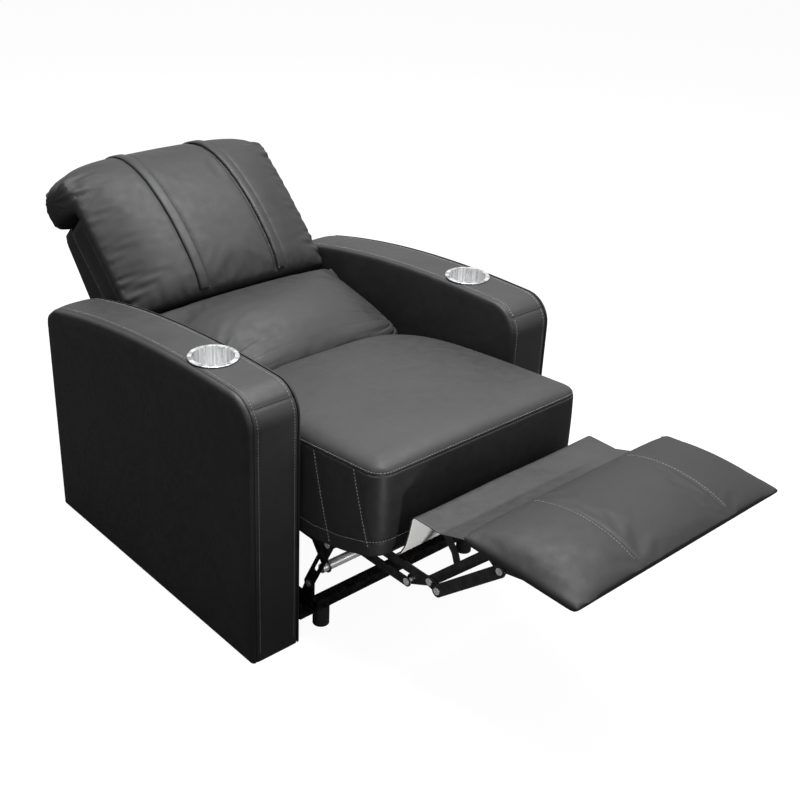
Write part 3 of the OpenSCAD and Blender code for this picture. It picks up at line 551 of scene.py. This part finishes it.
# ---- Seat
# One foam deck under a single leather top, sewn all round to a padded border
# that wraps the front and both sides. The front corners are rounded upright.

hinge_y, hinge_z = front + 0.500, 0.360
seat_low, seat_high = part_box("seat_border")
seat_half = seat_high.x
seat_front = front - seat_low.y
seat_seam, seat_pitch, seat_crown = 0.518, math.radians(6.3), 0.052
border_thick, corner_r, sweep = 0.008, 0.036, 0.230


def seam_height(y):
    return seat_seam - math.tan(seat_pitch) * (y - front + seat_front)


def sweep_face(z):
    return hinge_y - math.sqrt(max(0.0, sweep ** 2 - (z - hinge_z) ** 2))


def along(path, s):
    """The place at a share of a path, counted over its corners."""
    i, t = cell(min(max(s, 0.0), 1.0), len(path))
    a, b = path[i], path[i + 1]
    return (a[0] + (b[0] - a[0]) * t, a[1] + (b[1] - a[1]) * t)


def filled(name, cuts, place):
    """A cube cut into a grid, whose points go to place(u, v, w): across, along and up."""
    bpy.ops.object.select_all(action="DESELECT")
    bpy.ops.mesh.primitive_cube_add(size=2)
    piece = bpy.context.object
    piece.name = piece.data.name = name
    bpy.ops.object.mode_set(mode="EDIT")
    bpy.ops.mesh.select_all(action="SELECT")
    bpy.ops.mesh.subdivide(number_cuts=cuts)
    bpy.ops.object.mode_set(mode="OBJECT")
    for point in piece.data.vertices:
        u, v, w = point.co
        point.co = place(math.sin(u * math.pi / 2), (v + 1) / 2, (w + 1) / 2)
    outwards(piece)
    return piece


def between(half, paths):
    """A place for filled(): points lie between the lower and the upper path of each section."""
    kept = {}

    def place(share, v, w):
        key = round(share, 6)
        if key not in kept:
            kept[key] = paths(share)
        a, b = along(kept[key][0], v), along(kept[key][1], v)
        return (half * share, a[0] + (b[0] - a[0]) * w, a[1] + (b[1] - a[1]) * w)

    return place


swell_frames = 14
leather_cloth = {
    "quality": 4, "mass": 0.4, "tension_stiffness": 25, "compression_stiffness": 25, "shear_stiffness": 8,
    "bending_stiffness": 4.0, "use_pressure": True, "vertex_group_mass": "held"}


def swell(piece, voxel, cap, keep, shrink=0.0, pressure=1.6, soften=6):
    """Remeshes a cushion, lets cloth swell it and limits how far each point goes."""
    bake(piece, "REMESH", mode="VOXEL", voxel_size=voxel, adaptivity=0.0)
    bake(piece, "SMOOTH", factor=0.6, iterations=soften)
    start = read(piece.data, "co")
    held = piece.vertex_groups.new(name="held")
    for i, p in enumerate(start):
        share = keep(p[0], p[1], p[2])
        if share > 0:
            held.add([i], share, "REPLACE")
    only(piece)
    cloth = piece.modifiers.new("cloth", "CLOTH")
    for key, value in leather_cloth.items():
        setattr(cloth.settings, key, value)
    cloth.settings.uniform_pressure_force = pressure
    cloth.settings.shrink_min = shrink
    cloth.settings.effector_weights.gravity = 0.0
    cloth.collision_settings.use_collision = False
    cloth.collision_settings.use_self_collision = False
    cloth.point_cache.frame_start = 1
    cloth.point_cache.frame_end = swell_frames
    scene = bpy.context.scene
    for number in range(1, swell_frames + 1):
        scene.frame_set(number)
    shaped = piece.evaluated_get(bpy.context.evaluated_depsgraph_get())
    step = read(shaped.data, "co") - start
    length = np.linalg.norm(step, axis=1, keepdims=True)
    step *= cap * (1 - np.exp(-length / cap)) / np.maximum(length, 1e-9)
    piece.modifiers.remove(cloth)
    scene.frame_set(1)
    write(piece.data, start + step)
    piece.vertex_groups.remove(held)
    bake(piece, "SMOOTH", factor=0.5, iterations=4)
    bake(piece, "SUBSURF", levels=1, render_levels=1)
    return piece


seat_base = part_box("seat_cushion")[0].z
deck_shoulder, shoulder_run = 0.022, 0.048
rim_y = front - seat_front


def half_at(y):
    """Half the seat's width at y, which the upright front corners round in."""
    inset = max(0.0, corner_r - (y - rim_y))
    return seat_half - corner_r + math.sqrt(max(0.0, corner_r ** 2 - inset ** 2))


def deck_place(share, v, w):
    """The deck rises from its seam over a shoulder to a crown and falls to the lumbar cushion."""
    crown = (seat_crown - deck_shoulder) * (1 - abs(share) ** 3)
    top_rear = seam_height(front + 0.320) + 0.044 * (1 - abs(share) ** 4)
    rear = sweep_face(top_rear)
    run = v ** 1.4
    y = rim_y + run * (rear - 0.016 - rim_y)
    near = min(1.0, min(half_at(y) * (1 - abs(share)), y - rim_y) / shoulder_run)
    shoulder = deck_shoulder * math.sqrt(1 - (1 - near) ** 2)
    rise = crown * math.sin(math.pi * min(1, run * 0.62 + 0.001)) ** 0.7
    last = crown * math.sin(math.pi * 0.621) ** 0.7 + deck_shoulder
    tail = (top_rear - 0.008 - seam_height(rear) - last) * run ** 6
    top = seam_height(y) + shoulder + rise + tail
    z = seat_base + (top - seat_base) * w
    y = rim_y + run * (sweep_face(z) - 0.001 - rim_y)
    return (half_at(y) * share, y, z)


def seat_held(x, y, z):
    """Sewn down at the seam and free 37 mm above it; the rear is held by the lumbar cushion."""
    over = z - seam_height(y)
    return 1.0 if y > sweep_face(z) - 0.02 else max(0.0, min(1.0, 1.25 - over / 0.03))


deck = filled("seat_deck", 34, deck_place)
swell(deck, 0.005, 0.008, seat_held, soften=2)
behind_border = border_thick + 0.0012
for point in deck.data.vertices:
    under = seam_height(point.co.y) + 0.0004 - point.co.z
    if under > 0:
        draw = min(behind_border, 3.0 * under)
        too_wide = max(0.0, abs(point.co.x) - seat_half + behind_border)
        point.co.x -= math.copysign(min(draw, too_wide), point.co.x)
        point.co.y = max(point.co.y, rim_y + draw)
finish(deck, black_leather)
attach(deck, "seat")
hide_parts("seat_cushion")

border_end = front + 0.410


def border_line(out):
    """The border's plan from the left rear, round the front, to the right rear."""
    r = corner_r + out
    half = seat_half + out
    raw = [(-half, border_end)]
    raw += [(-half, y) for y in np.linspace(border_end - 0.02, rim_y + corner_r, 46)]
    raw += [(-half + r - r * c, rim_y - out + r - r * s) for s, c in arc(np.linspace(0.1, math.pi / 2, 14))]
    raw += [(x, rim_y - out) for x in np.linspace(-half + r + 0.01, 0, 22)]
    raw += [(-x, y) for x, y in reversed(raw[:-1])]
    return np.array(raw)


border_plan, border_plan_out = border_line(0.0), border_line(0.004)
border_turn = 0.002


def hem_height(y):
    """The border's lower edge, which drops from the front towards the rear."""
    behind_rim, heights = (0, 0.03, 0.10, 0.19, 0.24, 0.9), (0.335, 0.327, 0.302, 0.281, 0.278, 0.278)
    return float(np.interp(y - rim_y, behind_rim, heights))


def border_place(u, v):
    i, t = cell(u, len(border_plan))
    flat = border_plan[i] * (1 - t) + border_plan[i + 1] * t
    wide = border_plan_out[i] * (1 - t) + border_plan_out[i + 1] * t
    y = flat[1]
    top = seam_height(y) - 0.0005 if y < front + 0.268 else 0.352
    low = hem_height(y)
    edge = min(1 - v, v) * (top - low)
    turn = max(0.0, 1 - edge / border_turn)
    puff = 0.6 * (1 - abs(2 * v - 1) ** 2.5) - 0.3 * (1 - math.sqrt(max(0.0, 1 - turn * turn)))
    x, yy = flat + (wide - flat) * puff
    return (x, yy, low + (top - low) * v)


border = panel("seat_boxing", 320, 60, border_place)
bake(border, "SOLIDIFY", thickness=0.005, offset=-1)
outwards(border)
side_rows = []
slants = (((-0.030, 0.494), (-0.086, 0.300)), ((-0.153, 0.508), (-0.204, 0.350)))
for s in (-1, 1):
    for (ya, za), (yb, zb) in slants:
        line = [(s * (seat_half + 0.003), front + ya + (yb - ya) * k / 12, za + (zb - za) * k / 12)
                for k in range(13)]
        crease(border, line, 0.0030, 0.008)
        side_rows.append([(x, y + 0.006, z) for x, y, z in line])
hem = [(x, y, hem_height(y) + 0.034) for x, y in border_plan_out[20:-20]]
crease(border, hem, 0.0018, 0.007)
finish(border, shaded_leather)
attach(border, "seat")
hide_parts("seat_border")
for number, row in enumerate(side_rows):
    stitches(f"seat_side_stitch_{number + 1}", border, row, thread, "seat")
stitches("seat_hem_stitch", border, hem, thread, "seat")
over_seam = [(x, y, seam_height(y) + 0.006) for x, y in border_plan[14:-14]]
crease(deck, over_seam, 0.0005, 0.003)
stitches("seat_top_topstitch", deck, over_seam, thread, "seat", thick=0.0006)


# ---- Backrest
# A timber frame with a pulled-over cushion: one long panel rises from the
# lumbar cushion and rolls over the top. Its sides and rear are closed by
# plain leather panels, and two sewn straps run up the front.

lean = math.radians(46)
back_long, roll_r = 0.685, 0.085
roll_mid = (0.075, back_long - roll_r)
back_face = 0.0137
roll_end = -54
back_round = 3.2
strap_near, strap_far = 0.100, 0.128


def from_back(p):
    """y and z of a point given behind the backrest's plane and up along it, from its pivot."""
    q, up = p
    return (hinge_y + q * math.cos(lean) + up * math.sin(lean),
            hinge_z + up * math.cos(lean) - q * math.sin(lean))


def to_back(y, z):
    """The reverse of from_back: behind the backrest's plane, and up along it."""
    dy, dz = y - hinge_y, z - hinge_z
    return dy * math.cos(lean) - dz * math.sin(lean), dy * math.sin(lean) + dz * math.cos(lean)


front_mid = [(-0.062, 0.222), (-0.084, 0.232), (-0.098, 0.262), (-0.106, 0.320),
             (-0.107, 0.372), (-0.104, 0.425), (-0.095, 0.480), (-0.080, 0.535),
             (-0.057, 0.586), (-0.026, 0.629), (0.014, 0.661)]


def roll_draw(share):
    """How far the roll narrows towards its gathered ends."""
    return roll_r * 0.44 * abs(share) ** 5


def roll_at(share):
    return (roll_mid[0] + 0.25 * roll_draw(share), roll_mid[1] - 0.5 * roll_draw(share))


def back_front(full, share):
    """The cushion's front at one place across, from the lumbar cushion up to the roll."""
    flat, bend = -0.006, 0.470
    rows = []
    for q, up in front_mid:
        draw = (1 - full) * 0.022 * (1 - up / back_long)
        top = 1.5 * roll_draw(share) * max(0.0, up - bend) / (back_long - bend)
        rows.append((flat + (q - flat) * (0.12 + 0.88 * full), up + draw - top))
    return rows


def back_paths(share):
    full = 1 - abs(share) ** back_round
    high = back_front(full, share)
    r, (q, up) = roll_r - roll_draw(share), roll_at(share)
    high += [(q + r * c, up + r * s) for s, c in arc(math.radians(a) for a in range(96, roll_end - 1, -10))]
    low = [(back_face, 0.228), (back_face, 0.2625), (back_face, 0.519), (0.014, 0.535), (0.100, 0.549)]
    return [from_back(p) for p in low], [from_back(p) for p in high]


def back_held(x, y, z):
    """Held at its ends, its foot, on the frame and under the straps."""
    q, up = to_back(y, z)
    if abs(x) > seat_half - 0.012 or up < 0.236:
        return 1.0
    if q > -0.002 and up < 0.56:
        return 1.0
    off_strap = abs(abs(x) - (strap_near + strap_far) / 2)
    return 1.0 if off_strap < 0.013 and q < 0.05 else 0.0


back = filled("back_cover", 36, between(seat_half, back_paths))
swell(back, 0.006, 0.009, back_held, shrink=-0.004)


def around_roll(co):
    """The way round the end of the back: round the roll, and down the front below it."""
    q, up = to_back(co[:, 1], co[:, 2])
    turn = np.arctan2(up - roll_mid[1], q - roll_mid[0])
    return np.where(up > roll_mid[1] - 0.04, turn * roll_r, up * 0.9)


def roll_strength(way):
    """Deep folds on the roll, shallow and patchy ones down the sides."""
    return np.where(way < 0.3, 1.0, 0.22 + 0.25 * np.sin(way * 31.0) ** 2)


pucker(back, 0.050, 0.0042, around_roll, ((seat_half, 1), (-seat_half, -1)), 0.031, 0.3, roll_strength)

# The foam pushes the roll's ends out into domes, and the panel is gathered
# where it meets the lumbar cushion.
dome_r, dome_out = 0.095, 0.016
gather_low, gather_high = 0.225, 0.09
for point in back.data.vertices:
    q, up = to_back(point.co.y, point.co.z)
    off = math.hypot(q - roll_mid[0], up - roll_mid[1])
    dome = max(0.0, 1 - (off / dome_r) ** 2) * ramp(abs(point.co.x), 0.20, 0.09) ** 2
    point.co.x += math.copysign(dome_out * dome, point.co.x)
    rise = up - gather_low
    if 0 < rise < gather_high and q < -0.02:
        x = point.co.x
        fold = math.sin(x * 150) * 0.5 + math.sin(x * 87 + 1) * 0.5 + math.sin(x * 243 + 2) * 0.3
        fade = (1 - rise / gather_high) ** 1.5 * min(1.0, rise / 0.012)
        point.co += point.normal * 0.0018 * fold * fade


# A darker copy of the same black leather for the back and lumbar cushion: painted shade.
back_shaded_leather = leather("black_leather_back_shaded", 0.0165, 0.6)
finish(back, back_shaded_leather)
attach(back, "back")
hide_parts("back_cushion")


def strap_path(x):
    """A line up the cushion's front and over its roll, at one place across."""
    full = 1 - abs(x / seat_half) ** back_round
    rows = back_front(full, x / seat_half)[1:]
    rows += [(roll_mid[0] + roll_r * c, roll_mid[1] + roll_r * s)
             for s, c in arc(math.radians(a) for a in range(90, roll_end - 1, -8))]
    return [(x, *from_back(p)) for p in rows]


def laid_strap(name, sign, replaced):
    """A strap on the cushion, thick in its middle and thin at both edges, with two rows of stitches."""
    left, right = strap_path(sign * strap_near), strap_path(sign * strap_far)

    def place(u, v):
        i, t = cell(v, len(left))
        a = Vector(left[i]).lerp(Vector(left[i + 1]), t)
        b = Vector(right[i]).lerp(Vector(right[i + 1]), t)
        return a.lerp(b, u)

    piece = panel(name, 10, 220, place)
    for point in piece.data.vertices:
        _, spot, normal, _ = back.closest_point_on_mesh(point.co)
        u = abs(abs(point.co.x) - (strap_near + strap_far) / 2) / ((strap_far - strap_near) / 2)
        point.co = spot + normal * (0.0042 - 0.0032 * u ** 8)
    bake(piece, "SOLIDIFY", thickness=0.0016, offset=0)
    outwards(piece)
    finish(piece, shaded_leather)
    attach(piece, "back")
    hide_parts(replaced)
    for label, x in (("inner", strap_near + 0.0045), ("outer", strap_far - 0.0045)):
        row = strap_path(sign * x)
        stitches(f"{name}_{label}_stitch", piece, row, thread, "back", lift=0.0002)


strap_edges = ((-strap_near, 0.0028), (-strap_far, 0.0022), (strap_near - 0.002, 0.0075), (strap_far, 0.0028))
for x, deep in strap_edges:
    crease(back, strap_path(x), deep, 0.010)
laid_strap("left_front_strap", -1, "left_back_strap")
laid_strap("right_front_strap", 1, "right_back_strap")


def back_pad(name, reach, depths, low, high, face, turn=0.006, crown=0.003):
    """A leather pad over the backrest's frame.

    depths holds its front and rear at the bottom, and the same at the top."""
    x_in, x_out = reach
    (front_low, rear_low), (front_high, rear_high) = depths
    wide = x_out - x_in if face == "rear" else rear_low - front_low

    def place(share, v, w):
        u = (share + 1) / 2
        across = u if face == "rear" else v
        edge = min(min(across, 1 - across) * abs(wide), min(w, 1 - w) * (high - low))
        bend = max(0.0, 1 - edge / turn)
        puff = crown * (1 - abs(2 * across - 1) ** 2.5) * (1 - abs(2 * w - 1) ** 6)
        fall = turn * (1 - math.sqrt(1 - bend * bend)) - puff
        q = (front_low + (front_high - front_low) * w) * (1 - v) + (rear_low + (rear_high - rear_low) * w) * v
        x = x_in + (x_out - x_in) * u
        if face == "rear":
            q -= v * fall
        else:
            x -= math.copysign(u * fall, x_out)
        return (x, *from_back((q, low + (high - low) * w)))

    piece = filled(name, 26, place)
    bake(piece, "SUBSURF", levels=1, render_levels=1)
    finish(piece, shaded_leather)
    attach(piece, "back")
    return piece


lining_wide, lining_high = 0.54, 0.16


def crease_place(u, v):
    """A lining behind the joint of back and lumbar cushion, in front of the timber posts."""
    y, z = from_back((0.0125, 0.12 + lining_high * v))
    return ((2 * u - 1) * lining_wide / 2, y, z)


crease_lining = panel("back_crease_lining", 60, 20, crease_place)
bake(crease_lining, "SOLIDIFY", thickness=0.0014, offset=0)
outwards(crease_lining)
finish(crease_lining, shaded_leather)
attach(crease_lining, "back")

frame_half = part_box("back_shell")[1].x
cover_low = 0.030
cover_top = roll_mid[1] + roll_r * math.sin(math.radians(roll_end)) - 0.0003
rear_cover = back_pad("back_rear_cover", (-frame_half, frame_half), ((0.180, 0.190), (0.116, 0.126)),
                      cover_low, cover_top, "rear")
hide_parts("back_shell")
for side, sign in (("left", -1), ("right", 1)):
    reach = (sign * (frame_half + 0.0003), sign * (seat_half - 0.003))
    facing = back_pad(f"{side}_back_return", reach, ((0.068, 0.190), (0.081, 0.126)),
                      cover_low, cover_top, "side")
    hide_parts("back_side_panels")
    inset = back_pad(f"{side}_back_inset", reach, ((0.014, 0.0677), (0.014, 0.080)),
                     0.226, cover_top - 0.010, "side")
    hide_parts(f"{side}_back_gusset")


# ---- Lumbar cushion
# A separate soft roll at the foot of the backrest, tucked under the back
# cushion and gathered at both ends where it meets the arms.

lumbar_half = seat_half - 0.002


def spin(r, degrees):
    """A point on a circle round the backrest's pivot."""
    return (hinge_y + r * math.cos(math.radians(degrees)), hinge_z + r * math.sin(math.radians(degrees)))


def lumbar_paths(share):
    full = 1 - abs(share) ** 2.2
    low_r = (sweep - 0.003) * (0.86 + 0.14 * (1 - abs(share) ** 8))
    nose = spin(low_r, 140)
    top = from_back((-0.064 + 0.026 * (1 - full), 0.216))
    bulge = 0.003 + 0.049 * full
    high = []
    for i in range(9):
        s = i / 8
        puff = math.sin(math.pi * s) * bulge
        high.append((top[0] + (nose[0] - top[0]) * s - 0.53 * puff,
                     top[1] + (nose[1] - top[1]) * s + 0.85 * puff))
    high += [spin(low_r, a) for a in (144, 147.5, 151)]
    low = [from_back((back_face, 0.212)), from_back((back_face, 0.100)), spin(low_r * 0.7, 152)]
    return low, high


def lumbar_held(x, y, z):
    """Held at its ends, along its top, on the frame and where it meets the seat."""
    if abs(x) > lumbar_half - 0.006:
        return 1.0
    q, up = to_back(y, z)
    at_seat = z - hinge_z < 0.10 and math.hypot(y - hinge_y, z - hinge_z) > 0.2
    return 1.0 if up > 0.205 or q > -0.02 or at_seat else 0.0


lumbar_section = between(lumbar_half, lumbar_paths)


def lumbar_place(share, v, w):
    """The ends draw in towards the seat, where the cover is pulled down."""
    x, y, z = lumbar_section(share, v, w)
    sag = 0.030 * abs(share) ** 6 * math.sin(math.pi * min(1.0, v * 1.15))
    return (x * (1 - 0.10 * min(1.0, v * 1.3) ** 2 * abs(share) ** 3), y + 0.5 * sag, z - sag)


lumbar = filled("lumbar_roll", 28, lumbar_place)
swell(lumbar, 0.006, 0.008, lumbar_held, shrink=-0.008)


def around_lumbar(co):
    return np.arctan2(co[:, 2] - hinge_z - 0.13, co[:, 1] - hinge_y + 0.13) * 0.11


pucker(lumbar, 0.075, 0.0048, around_lumbar, ((lumbar_half, 1), (-lumbar_half, -1)), 0.030, 0.8)
finish(lumbar, back_shaded_leather)
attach(lumbar, "back")
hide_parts("lumbar_cushion")


# ---- Footrest pad
# A thin pillow on a plywood board: soft top, pointed corners where its two
# skins are sewn edge to edge, and two stitched seams from rear to front.

pad_low, pad_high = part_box("footrest_pad")
pad_half = pad_high.x
pad_rear, pad_front = pad_high.y, pad_low.y
pad_seam_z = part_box("footrest_board")[0].z + 0.028
pad_seam_x = 0.127


def pad_dome(s):
    """The pillow's height from its rear to its front, as a share of its crown."""
    return math.sin(math.pi * (0.02 + 0.96 * s)) ** 0.6


def pad_paths(share):
    full = 0.45 * (1 - abs(share) ** 4) + 0.55 * (1 - abs(share) ** 14)
    rear = pad_rear - 0.0032 * full
    high = [(pad_front + 0.006, (pad_low.z + pad_seam_z) / 2)]
    for i in range(15):
        s = i / 14
        y = pad_front + s * (rear - pad_front)
        high.append((y, pad_seam_z + 0.044 * full * pad_dome(s)))
    high.append((rear - 0.006, (pad_low.z + pad_seam_z) / 2))
    low = [(pad_front + 0.018, pad_low.z), (rear - 0.018, pad_low.z)]
    return low, high


def pad_held(x, y, z):
    if abs(x) > pad_half - 0.006 or z < pad_seam_z + 0.001:
        return 1.0
    return 1.0 if abs(abs(x) - pad_seam_x) < 0.004 else 0.0


pad = filled("footrest_pillow", 30, between(pad_half, pad_paths))
swell(pad, 0.005, 0.008, pad_held, shrink=-0.002, soften=3)
for sign in (-1, 1):
    seam = [(sign * pad_seam_x, pad_front + (pad_rear - pad_front) * k / 30,
             pad_seam_z + 0.046 * pad_dome(k / 30)) for k in range(31)]
    crease(pad, seam, 0.0022, 0.007)
# The pad gets a still darker copy of the same black leather: painted shade.
finish(pad, leather("black_leather_pad_shaded", 0.0125, 0.6))
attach(pad, "footrest")
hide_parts("footrest_pad")
pale_thread = cord("grey_thread", 900.0, (0.1, 0.1, 0.1), (0.24, 0.24, 0.24))
for label, sign in (("left", -1), ("right", 1)):
    row = [(sign * (pad_seam_x + 0.0055), pad_front + 0.004 + (pad_rear - pad_front - 0.008) * k / 40,
            pad_high.z) for k in range(41)]
    stitches(f"{label}_footrest_stitch", pad, row, pale_thread, "footrest", thick=0.0006)


# ---- Flap
# A sheet of black vinyl with a white cloth back. It is stapled under the
# footrest's rear edge, passes over a tube on the linkage and ends under the
# seat's front, so it hides the mechanism.

flap_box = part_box("footrest_flap")
flap_half = flap_box[1].x
tube_y, tube_z, tube_r = front - 0.353, 0.443, 0.0096
fold_y, fold_z, fold_r = front - 0.292, 0.438, 0.014


def flap_points():
    """From the footrest board over the tube and round the fold to the lower end."""
    raw = [(front - 0.452, 0.484), (front - 0.416, 0.472)]
    raw += [(tube_y + tube_r * c, tube_z + tube_r * s) for s, c in arc(map(math.radians, (110, 95)))]
    raw += [(fold_y + fold_r * c, fold_z + fold_r * s) for s, c in arc(map(math.radians, range(85, -6, -15)))]
    raw += [(front - 0.272, 0.405), (front - 0.264, 0.375), (front - 0.252, 0.352), (front - 0.236, 0.339)]
    return raw


flap_raw = np.array(flap_points())
flap_reach = np.concatenate([[0], np.cumsum(np.linalg.norm(np.diff(flap_raw, axis=0), axis=1))])
flap_length = float(flap_reach[-1])


def flap_at(s):
    d = s * flap_length
    return np.interp(d, flap_reach, flap_raw[:, 0]), np.interp(d, flap_reach, flap_raw[:, 1])


def flap_place(u, v):
    y, z = flap_at(v)
    x = (2 * u - 1) * flap_half
    ripple = 0.0009 * math.sin(x * 21 + 4 * v) * math.sin(math.pi * v)
    return (x, y, z + 0.0006 + ripple)


flap = panel("footrest_apron", 110, 60, flap_place)
bake(flap, "SOLIDIFY", thickness=0.0014, offset=0)
outwards(flap)
finish(flap, leather("black_vinyl", 0.024, 0.5, 800.0, 0.00015))
bend_from, bend_to = (0, front - 0.380, 0.458), (0, front - 0.445, 0.482)
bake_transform(flap)
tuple(bend_from)
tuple(bend_to)
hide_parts("footrest_flap")

lining_look, weave = speckled("white_lining", 700.0, 2.0, (0.62, 0.62, 0.61), (0.84, 0.84, 0.83),
                              Roughness=0.85)
lining_look.feed("Normal", lining_look.bump(weave, 0.0003, 0.5))
flap_slope = np.gradient(flap_raw, axis=0)
flap_slope /= np.linalg.norm(flap_slope, axis=1, keepdims=True)


lining_across, lining_along, lining_under = 0.992, 0.96, 0.0014


def lining_place(u, v):
    """The same path, a little short of the flap's edges and laid under it."""
    share = 0.02 + lining_along * v
    x, y, z = flap_place(0.004 + lining_across * u, share)
    d = share * flap_length
    ty, tz = np.interp(d, flap_reach, flap_slope[:, 0]), np.interp(d, flap_reach, flap_slope[:, 1])
    return (x, y + tz * lining_under, z - ty * lining_under)


lining = panel("footrest_apron_lining", 90, 60, lining_place)
bake(lining, "SOLIDIFY", thickness=0.0006, offset=0)
outwards(lining)
finish(lining, lining_look.material)
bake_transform(lining)
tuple(bend_from)
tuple(bend_to)


# ---- Floor, light and camera
# A plain pale floor, a wide soft light above and the photograph's camera.

bpy.ops.object.select_all(action="DESELECT")
bpy.ops.mesh.primitive_plane_add(size=30, location=(0, 0, -0.0005))
floor = bpy.context.object
floor.name = "floor"
floor_look = Look("pale_floor", Roughness=0.9, Specular_IOR_Level=0.0)
ray = floor_look.tree.nodes.new("ShaderNodeLightPath")
glow = floor_look.tree.nodes.new("ShaderNodeEmission")
blend = floor_look.tree.nodes.new("ShaderNodeMixShader")
glow.inputs["Strength"].default_value = 1.13
seen = Wire(floor_look, ray.outputs["Is Camera Ray"])
floor_look.feed("Base Color", floor_look.mix(seen, [0.05, 0.05, 0.05, 1], [0.8, 0.8, 0.8, 1]))
floor_look.tree.links.new((seen * 0.84).socket, blend.inputs[0])
floor_look.tree.links.new(floor_look.shader.outputs[0], blend.inputs[1])
floor_look.tree.links.new(glow.outputs[0], blend.inputs[2])
floor_look.tree.links.new(blend.outputs[0], floor_look.tree.nodes["Material Output"].inputs[0])
floor.data.materials.append(floor_look.material)

world = bpy.data.worlds.new("studio")
bpy.context.scene.world = world
world.use_nodes = True
tree = world.node_tree
backdrop = tree.nodes["Background"]
path = tree.nodes.new("ShaderNodeLightPath")


def path_value(operation, first, second):
    made = tree.nodes.new("ShaderNodeMath")
    made.operation = operation
    for place, value in enumerate((first, second)):
        if isinstance(value, float):
            made.inputs[place].default_value = value
        else:
            tree.links.new(value, made.inputs[place])
    return made.outputs[0]


clear = path_value("MAXIMUM", path.outputs["Is Camera Ray"], path.outputs["Is Transmission Ray"])
shiny = path_value("MULTIPLY", path.outputs["Is Glossy Ray"], 0.9)
level = path_value("MAXIMUM", path_value("MAXIMUM", clear, shiny), 0.10)
tree.links.new(level, backdrop.inputs["Strength"])
backdrop.inputs["Color"].default_value = (1, 1, 1, 1)


def soft_light(name, place, aim, size, watts):
    lamp = bpy.data.lights.new(name, "AREA")
    lamp.shape = "RECTANGLE"
    lamp.size, lamp.size_y = size
    lamp.energy = watts
    holder = bpy.data.objects.new(name, lamp)
    holder.location = place
    holder.rotation_euler = (Vector(aim) - Vector(place)).to_track_quat("-Z", "Y").to_euler()
    bpy.context.collection.objects.link(holder)


soft_light("overhead", (0.2, 0.1, 3.2), (0, 0, 0.4), (2.4, 2.4), 252)
soft_light("front_fill", (1.4, -3.2, 1.9), (0, -0.1, 0.4), (2.0, 1.6), 38)
soft_light("left_fill", (-3.0, -1.6, 1.0), (-0.2, -0.1, 0.4), (1.6, 1.6), 7)

beam = bpy.data.lights.new("low_front", "SPOT")
beam.energy, beam.spot_size = 70, math.radians(20)
beam.spot_blend, beam.shadow_soft_size = 0.7, 0.12
low_front = bpy.data.objects.new("low_front", beam)
low_front.location = (-0.95, front - 1.75, 0.12)
low_front.rotation_euler = Vector((0.73, 1.50, 0.25)).to_track_quat("-Z", "Y").to_euler()
low_front.visible_camera = False
bpy.context.collection.objects.link(low_front)

turn, tilt, roll = math.radians(-43.4258), math.radians(27.9943), math.radians(2.8779)
back_axis = Vector((math.sin(turn) * math.cos(tilt), -math.cos(turn) * math.cos(tilt), math.sin(tilt)))
right_axis = Vector((math.cos(turn), math.sin(turn), 0))
up_axis = back_axis.cross(right_axis)
right_turned = right_axis * math.cos(roll) + up_axis * math.sin(roll)
up_turned = up_axis * math.cos(roll) - right_axis * math.sin(roll)
eye = bpy.data.cameras.new("camera")
eye.sensor_width = 36.0
eye.lens = 55.13
camera = bpy.data.objects.new("camera", eye)
bpy.context.collection.objects.link(camera)
camera.matrix_world = Matrix((
    (right_turned.x, up_turned.x, back_axis.x, -1.6203),
    (right_turned.y, up_turned.y, back_axis.y, -1.6725 + front),
    (right_turned.z, up_turned.z, back_axis.z, 1.7374),
    (0, 0, 0, 1)))
bpy.context.scene.camera = camera
bpy.context.scene.view_settings.view_transform = "Standard"
